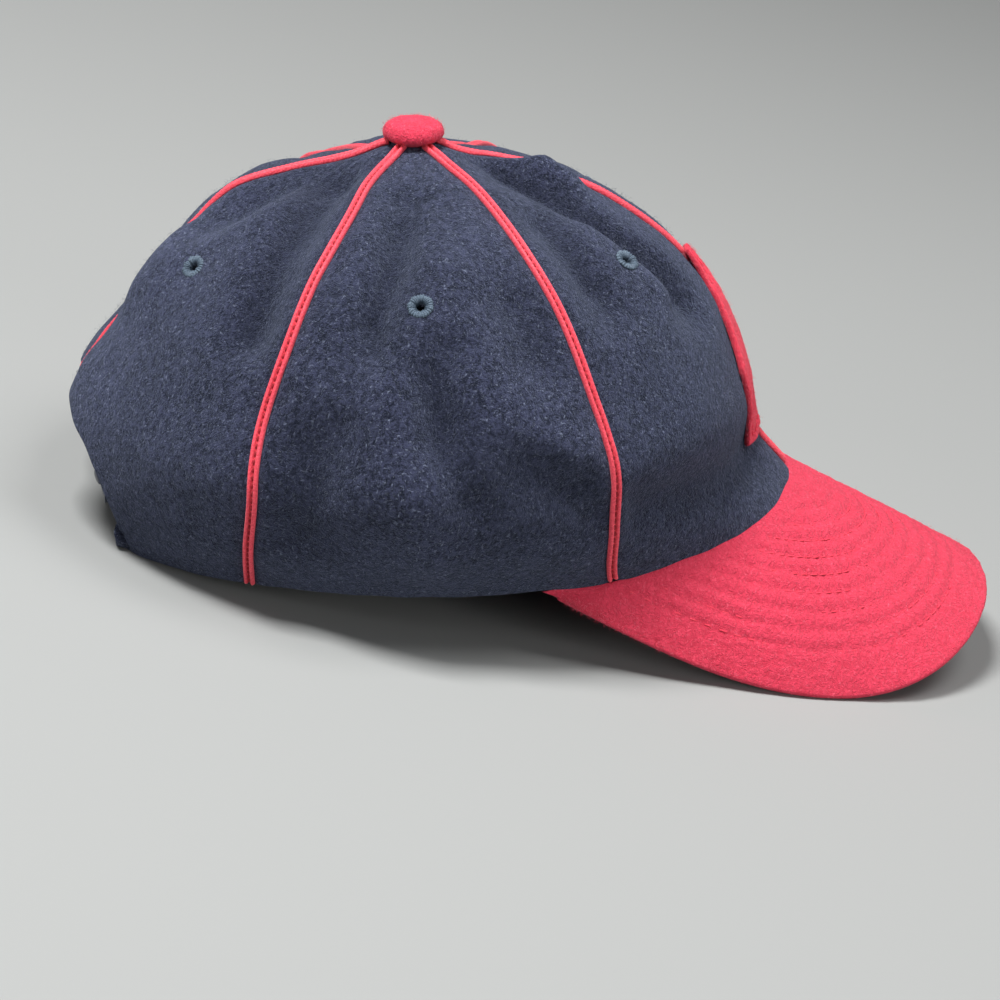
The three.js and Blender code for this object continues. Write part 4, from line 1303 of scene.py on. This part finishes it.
# %% [markdown]
# ## The snap strap
# Two moulded plastic bands meet behind the head. One has holes, the other has pegs that snap into them. Holes
# could be cut with a boolean, but a band can also be laid out flat around its holes: each hole is the middle
# of a cell, and rings of points go from the hole's circle to the cell's frame. Solidify then gives the band
# its thickness and Bevel its soft moulded edges.

# %% Sizes of the strap
STRAP_THICK = 1.4
STRAP_TAUT = 7.0
STRAP_GAP = 0.6
STRAP_LOW, STRAP_HIGH = 0.034, 0.138
STRAP_SEWN = np.radians(46)
STRAP_FREE = np.radians(22)
STRAP_ROUND = np.radians(6)
PEG_PITCH = np.radians(6.4)
PEG_COUNT = 6
PEG_HOLE = 2.6
CELL_SIDE = 8
CELL_RINGS = 5
STRAP_SOFT = 0.3
print("holes to make:", PEG_COUNT)


# %% Strap bands
def strap_at(side, turn, height, behind, depth):
    """A place on a strap: turn from the middle of the back, height from -1 to 1 over its breadth. It lies
    inside the cloth and is drawn in across the open arch, and the lower layer passes behind."""
    middle, half = (STRAP_LOW + STRAP_HIGH) / 2, (STRAP_HIGH - STRAP_LOW) / 2
    to_end = np.clip((STRAP_FREE - turn) / STRAP_ROUND, 0, 1)
    open_ = np.maximum(np.sqrt(1 - (1 - to_end) ** 2), 0.05)
    way = middle + half * open_ * height
    angle = np.pi + side * turn
    up = crown(angle, way + WAY_STEP) - crown(angle, way - WAY_STEP)
    around = crown(angle + WAY_STEP, way) - crown(angle - WAY_STEP, way)
    taut = STRAP_TAUT * (1 - smoothstep(np.abs(turn), 0, np.radians(ARCH_HALF_ANGLE)))
    layer = behind * smoothstep(turn, -np.radians(ARCH_HALF_ANGLE), -STRAP_FREE)
    inset = CLOTH + STRAP_GAP + taut + layer + depth
    return crown(angle, way) - unit(np.cross(up, around)) * np.asarray(inset)[..., None]


def holed_cell(low, high, hole_turn, hole_height):
    """Rings from a hole to the frame of its cell, both walked round with the same steps."""
    k = np.linspace(-1, 1, CELL_SIDE, endpoint=False)
    frame_u = np.concatenate([k, 1 + 0 * k, -k, -1 + 0 * k])
    frame_v = np.concatenate([-1 + 0 * k, k, 1 + 0 * k, -k])
    around = np.arctan2(frame_v, frame_u)
    ring = np.linspace(0, 1, CELL_RINGS)[:, None]
    u = ring * frame_u + (1 - ring) * hole_turn * np.cos(around)
    v = ring * frame_v + (1 - ring) * hole_height * np.sin(around)
    turns = (low + high) / 2 + u * (high - low) / 2
    return np.stack([turns, v], -1).reshape(-1, 2), grid_faces(CELL_RINGS, 4 * CELL_SIDE, wrap=True)


def plain_cells(low, high, count):
    """A plain stretch of the band between two turns."""
    turns, heights = np.meshgrid(np.linspace(low, high, count), np.linspace(-1, 1, CELL_SIDE + 1))
    return np.stack([turns, heights], -1).reshape(-1, 2), grid_faces(CELL_SIDE + 1, count)


def joined(parts):
    """Several meshes as one, with the points that lie on each other made one."""
    counts = np.cumsum([0] + [len(p) for p, _ in parts])
    points = np.concatenate([p for p, _ in parts])
    faces = np.concatenate([f + n for (_, f), n in zip(parts, counts)])
    _, first, fresh = np.unique(points.round(6), axis=0, return_index=True, return_inverse=True)
    return points[first], fresh.ravel()[faces]


print("points of one holed cell:", 4 * CELL_SIDE * CELL_RINGS)

# %% Places of the holes
turns = np.linspace(-0.4, 0.4, 200)
middle_line = strap_at(-1, turns, np.zeros_like(turns), 0, 0)
mm_per_radian = np.linalg.norm(np.diff(middle_line, axis=0), axis=1).sum() / np.ptp(turns)
half_height_mm = (STRAP_HIGH - STRAP_LOW) / 2 * CLOTH_LENGTH
holes = PEG_PITCH * (np.arange(PEG_COUNT) - (PEG_COUNT - 1) / 2)
holes_end = holes[-1] + PEG_PITCH / 2
hole_turn = PEG_HOLE / mm_per_radian / (PEG_PITCH / 2)
hole_height = PEG_HOLE / half_height_mm
print("strap:", round(mm_per_radian, 1), "mm a radian,", round(2 * half_height_mm, 1), "mm broad")


# %% Strap pieces
def moulded(name, points, faces, node):
    """A band without thickness made a piece, given its thickness and softly rounded edges."""
    made = piece(name, points, faces, navy_plastic, [node])
    wall = made.modifiers.new("thickness", "SOLIDIFY")
    wall.thickness = STRAP_THICK / 1000
    wall.offset = 0
    soft = made.modifiers.new("soft edges", "BEVEL")
    soft.width = STRAP_SOFT / 1000
    soft.segments = 3
    soft.limit_method = "ANGLE"
    return made


cells = [plain_cells(-STRAP_SEWN, -holes_end, 34), plain_cells(holes_end, STRAP_FREE, 14)]
cells = [(spots, corners[:, ::-1]) for spots, corners in cells]
holed = [holed_cell(t - PEG_PITCH / 2, t + PEG_PITCH / 2, hole_turn, hole_height) for t in holes]
pattern, faces = joined(cells + holed)
half_thick = STRAP_THICK / 2
points = strap_at(-1, pattern[:, 0], pattern[:, 1], 0, half_thick)
outer_strap = moulded("strap_with_holes", points, faces, "strap_holes")
pattern, faces = joined([plain_cells(-STRAP_SEWN, STRAP_FREE, 90)])
points = strap_at(1, pattern[:, 0], pattern[:, 1], STRAP_THICK + GAP, half_thick)
inner_strap = moulded("strap_with_pegs", points, faces, "strap_pegs")
print("straps:", triangles(outer_strap), triangles(inner_strap))

# %% Strap pegs
# Each peg: radius and height above the outer strap's face, from its root to the middle of its top
PEG_SECTION = np.array([
    (2.1, -1.9), (2.0, -0.2), (2.15, 0.15), (2.2, 0.4), (2.05, 0.68), (1.6, 0.86), (0.9, 0.93), (0.25, 0.95),
])
PEG_SIDES = 28
peg_angle = np.linspace(0, 2 * np.pi, PEG_SIDES, endpoint=False)[:, None]
zero = np.zeros(PEG_COUNT)
root = strap_at(-1, -holes, zero, 0, 0)
out_way = unit(strap_at(-1, -holes, zero, 0, -1) - root)
side_way = unit(np.cross(out_way, (0, 0, 1)))
over_way = np.cross(out_way, side_way)
ring = np.cos(peg_angle) * side_way[:, None, None] + np.sin(peg_angle) * over_way[:, None, None]
pegs = root[:, None, None] + ring * PEG_SECTION[:, :1, None]
pegs = pegs + out_way[:, None, None] * PEG_SECTION[:, 1:, None]
levels, sides = pegs.shape[1:3]
peg_faces = grid_faces(levels, sides, wrap=True)
peg_caps = np.stack([np.arange(sides), np.arange(sides)[::-1] + (levels - 1) * sides])
first = (np.arange(PEG_COUNT) * levels * sides)[:, None, None]
groups = [(peg_faces + first).reshape(-1, 4)[:, ::-1], (peg_caps + first).reshape(-1, sides)[:, ::-1]]
piece("strap_pegs_row", pegs.reshape(-1, 3), groups, navy_plastic)
print("pegs:", PEG_COUNT)

# %% [markdown]
# ## Loose fibres
# Up close, brushed wool ends in a haze of fibres, and against a pale ground they make the outline soft.
# Particle hair would do it, but hair doesn't travel with an exported mesh. So each fibre is a closed spindle
# of six triangles: a root in the cloth, a three-cornered bend and a tip that stands a little off the cloth.
# All of a piece's fibres are one mesh.

# %% Fibres of a piece
SPINDLE = np.array([(2, 1, 0), (3, 2, 0), (1, 3, 0), (1, 2, 4), (2, 3, 4), (3, 1, 4)])


def fibres(name, spots, normals, material, long_, lift, seed, pale=0.25, width=0.055):
    """Each fibre starts on the cloth, heads a random way along it, bends once and tapers to a point."""
    rng = np.random.default_rng(seed)
    count = len(spots)
    side = unit(np.cross(normals, rng.normal(size=(count, 3))))
    ahead = np.cross(normals, side)
    length = rng.uniform(0.5, 1.0, (count, 1)) * long_
    rise = rng.uniform(0.1, 1.0, (count, 1)) ** 4 * lift
    curl = side * rng.normal(0, 0.35, (count, 1)) * length
    root = spots - normals * 0.05
    bend = spots + ahead * length * 0.4 + normals * (rise * 0.75 + 0.03) + curl * 0.3
    tip = spots + ahead * length + normals * rise * rng.uniform(0.5, 1.3, (count, 1)) + curl
    third = np.radians((0, 120, 240))[None, :, None]
    corners = bend[:, None] + width / 2 * (np.cos(third) * side[:, None] - np.sin(third) * normals[:, None])
    points = np.concatenate([root[:, None], corners, tip[:, None]], 1)
    faces = SPINDLE + (np.arange(count) * 5)[:, None, None]
    tone = np.repeat(np.clip(rng.exponential(pale, count), 0, 1), 5)
    return piece(name, points.reshape(-1, 3), faces.reshape(-1, 3), material, tone=tone)


print("triangles of a fibre:", len(SPINDLE))

# %% Fibres of the crown
CROWN_FIBRES = 29000
CLEAR_OF_TAPE = 1.7
CLEAR_OF_ARCH = 0.008
rng = np.random.default_rng(12)
angle = rng.uniform(-np.pi, np.pi, CROWN_FIBRES)
way = np.sqrt(rng.uniform(0, 1, CROWN_FIBRES))
way = np.where(rng.uniform(size=CROWN_FIBRES) < 0.5, 0.86 * (1 - way), rng.uniform(0.01, 0.6, CROWN_FIBRES))
arch = (np.pi - np.abs(angle)) / np.radians(ARCH_CLOTH_ANGLE)
open_arch = way < ARCH_WAY * np.sqrt(np.clip(1 - arch**2, 0, 1)) + CLEAR_OF_ARCH
under_tape = np.abs(seam_distance(angle, way)) < CLEAR_OF_TAPE
shown = ~(open_arch | under_tape)
angle, way = angle[shown], way[shown]
spots, normals = cloth(angle, way), cloth_normal(angle, way)
crown_nap = fibres("nap_crown", spots, normals, navy_fibre, 1.6, 1.5, seed=61, pale=0.12)
print("crown fibres:", len(angle), "triangles", triangles(crown_nap))

# %% Fibres of the bill, the button and the patch
BILL_FIBRES = 10000
BUTTON_FIBRES = 900
PATCH_FIBRES = 3200
# Fibres of the button start above its curled edge
BUTTON_NAP_STEP = 14

fibre_turn = rng.uniform(-1, 1, BILL_FIBRES)
fibre_turn = BILL_TIP_ANGLE * np.sin(fibre_turn * np.pi / 2 * 0.9)
fibre_share = np.sqrt(rng.uniform(0.02, 0.99, BILL_FIBRES))
fibre_flat = bill_flat(fibre_turn, fibre_share)
on_top = rng.uniform(size=BILL_FIBRES) < 0.62
fibre_height = np.where(on_top, quilting(fibre_flat), -bill_thickness(fibre_turn) - quilting(fibre_flat))
spots = bill_bent(fibre_flat, fibre_height)
normals = unit(bill_bent(fibre_flat, fibre_height + 1) - spots) * np.where(on_top, 1, -1)[:, None]
fibres("nap_bill", spots, normals, red_fibre, 1.4, 1.1, seed=67)
steps = rng.integers(BUTTON_NAP_STEP, BUTTON_STEPS - 2, BUTTON_FIBRES)
sides = rng.integers(0, BUTTON_SIDES, BUTTON_FIBRES)
spots, normals = dome[steps, sides], unit(dome - (0, 0, button_base))[steps, sides]
fibres("nap_button", spots, normals, red_fibre, 1.3, 1.0, seed=71)
on_face = rng.uniform(size=PATCH_FIBRES) < 0.5
face_u = rng.uniform(-1, 1, PATCH_FIBRES)
edge_u = np.where(on_face, face_u, rng.choice((-1.0, 1.0), PATCH_FIBRES))
edge_way = rng.uniform(PATCH_LOW, PATCH_HIGH, PATCH_FIBRES)
edge_height = PATCH_THICK * np.where(np.abs(edge_u) < 1, 1, rng.uniform(0.2, 1, PATCH_FIBRES))
spots = patch_points(edge_u, edge_way, edge_height)
face_up = unit(patch_points(edge_u, edge_way, edge_height + 1) - spots)
outward = unit(spots - patch_points(edge_u * 0.9, edge_way, edge_height))
normals = np.where(np.abs(edge_u)[:, None] < 1, face_up, outward)
fibres("nap_front_patch", spots, normals, red_fibre, 1.0, 1.0, seed=73, pale=0.2, width=0.06)
print("bill, button and patch fibres:", BILL_FIBRES, BUTTON_FIBRES, PATCH_FIBRES)

# %% [markdown]
# ## Floor, light and camera
# The cap lies on a plain pale floor, wide enough that no horizon cuts the picture. Two soft lights from above
# and two weaker ones from the sides keep the shadows gentle, as overcast light does. The camera is described
# in the cap's own frame, by where it looks and from which side, and then turned with the cap's lean, so that
# it sees the cap itself at the wanted angle.

# %% Floor
FLOOR_HALF = 8
floor_mesh = bpy.data.meshes.new("floor")
corners = FLOOR_HALF * np.array([(-1, -1, 0), (1, -1, 0), (1, 1, 0), (-1, 1, 0)])
floor_mesh.from_pydata(corners.tolist(), [], [(0, 1, 2, 3)])
floor = bpy.data.objects.new("floor", floor_mesh)
scene.collection.objects.link(floor)
floor_paint = bpy.data.materials.new("pale floor")
floor_paint.use_nodes = True
floor_shader = floor_paint.node_tree.nodes["Principled BSDF"]
floor_shader.inputs["Base Color"].default_value = (0.27, 0.275, 0.27, 1)
floor_shader.inputs["Roughness"].default_value = 0.9
floor_mesh.materials.append(floor_paint)
print("floor is", 2 * FLOOR_HALF, "m wide")


# %% Lights
def soft_light(name, place, aim, size, power):
    """A square area light that looks at a point."""
    lamp = bpy.data.lights.new(name, "AREA")
    lamp.size = size
    lamp.energy = power
    made = bpy.data.objects.new(name, lamp)
    scene.collection.objects.link(made)
    back = unit(np.subtract(place, aim))
    side = unit(np.cross((0.01, 1, 0.02), back))
    axes = np.stack([side, np.cross(back, side), back], 1)
    made.matrix_world = Matrix.Translation(place) @ Matrix(axes.tolist()).to_4x4()


soft_light("key", (-0.2, 0.6, 1.45), (0, 0, 0.05), 0.45, 40)
soft_light("top", (-0.15, -0.5, 1.45), (0, 0, 0.05), 0.8, 13)
soft_light("fill", (-1.0, -1.1, 0.35), (0, -0.08, 0.03), 0.6, 7.5)
soft_light("side", (-0.9, 1.2, 0.5), (0, 0, 0.05), 0.6, 5)
world = bpy.data.worlds.new("studio")
world.use_nodes = True
world.node_tree.nodes["Background"].inputs["Color"].default_value = (0.80, 0.82, 0.84, 1)
world.node_tree.nodes["Background"].inputs["Strength"].default_value = 0.13
scene.world = world
scene.view_settings.view_transform = "Standard"
print("lights:", len(bpy.data.lights))

# %% Camera
VIEW_ROUND = np.radians(5.27)
VIEW_ABOVE = np.radians(22.82)
VIEW_ROLL = np.radians(0.71)
VIEW_DISTANCE = 971.74
VIEW_TARGET = np.array((0, -24.55, -3.58))
LENS_PIXELS = 3459.9
PICTURE_PIXELS = 1000
SENSOR_WIDTH = 36

back = np.array([
    -np.cos(VIEW_ROUND) * np.cos(VIEW_ABOVE), np.sin(VIEW_ROUND) * np.cos(VIEW_ABOVE), np.sin(VIEW_ABOVE),
])
right = np.array([-np.sin(VIEW_ROUND), -np.cos(VIEW_ROUND), 0])
up = np.cross(right, -back)
rolled_right = right * np.cos(VIEW_ROLL) + up * np.sin(VIEW_ROLL)
rolled_up = up * np.cos(VIEW_ROLL) - right * np.sin(VIEW_ROLL)
axes = lean @ np.stack([rolled_right, rolled_up, back], 1)
eye = to_row((VIEW_TARGET + VIEW_DISTANCE * back)[None])[0]
camera = bpy.data.objects.new("camera", bpy.data.cameras.new("camera"))
camera.data.sensor_width = SENSOR_WIDTH
camera.data.lens = SENSOR_WIDTH * LENS_PIXELS / PICTURE_PIXELS
camera.matrix_world = Matrix.Translation(eye) @ Matrix(axes.tolist()).to_4x4()
scene.collection.objects.link(camera)
scene.camera = camera
print("camera stands at", eye.round(3), "lens", round(camera.data.lens, 1))
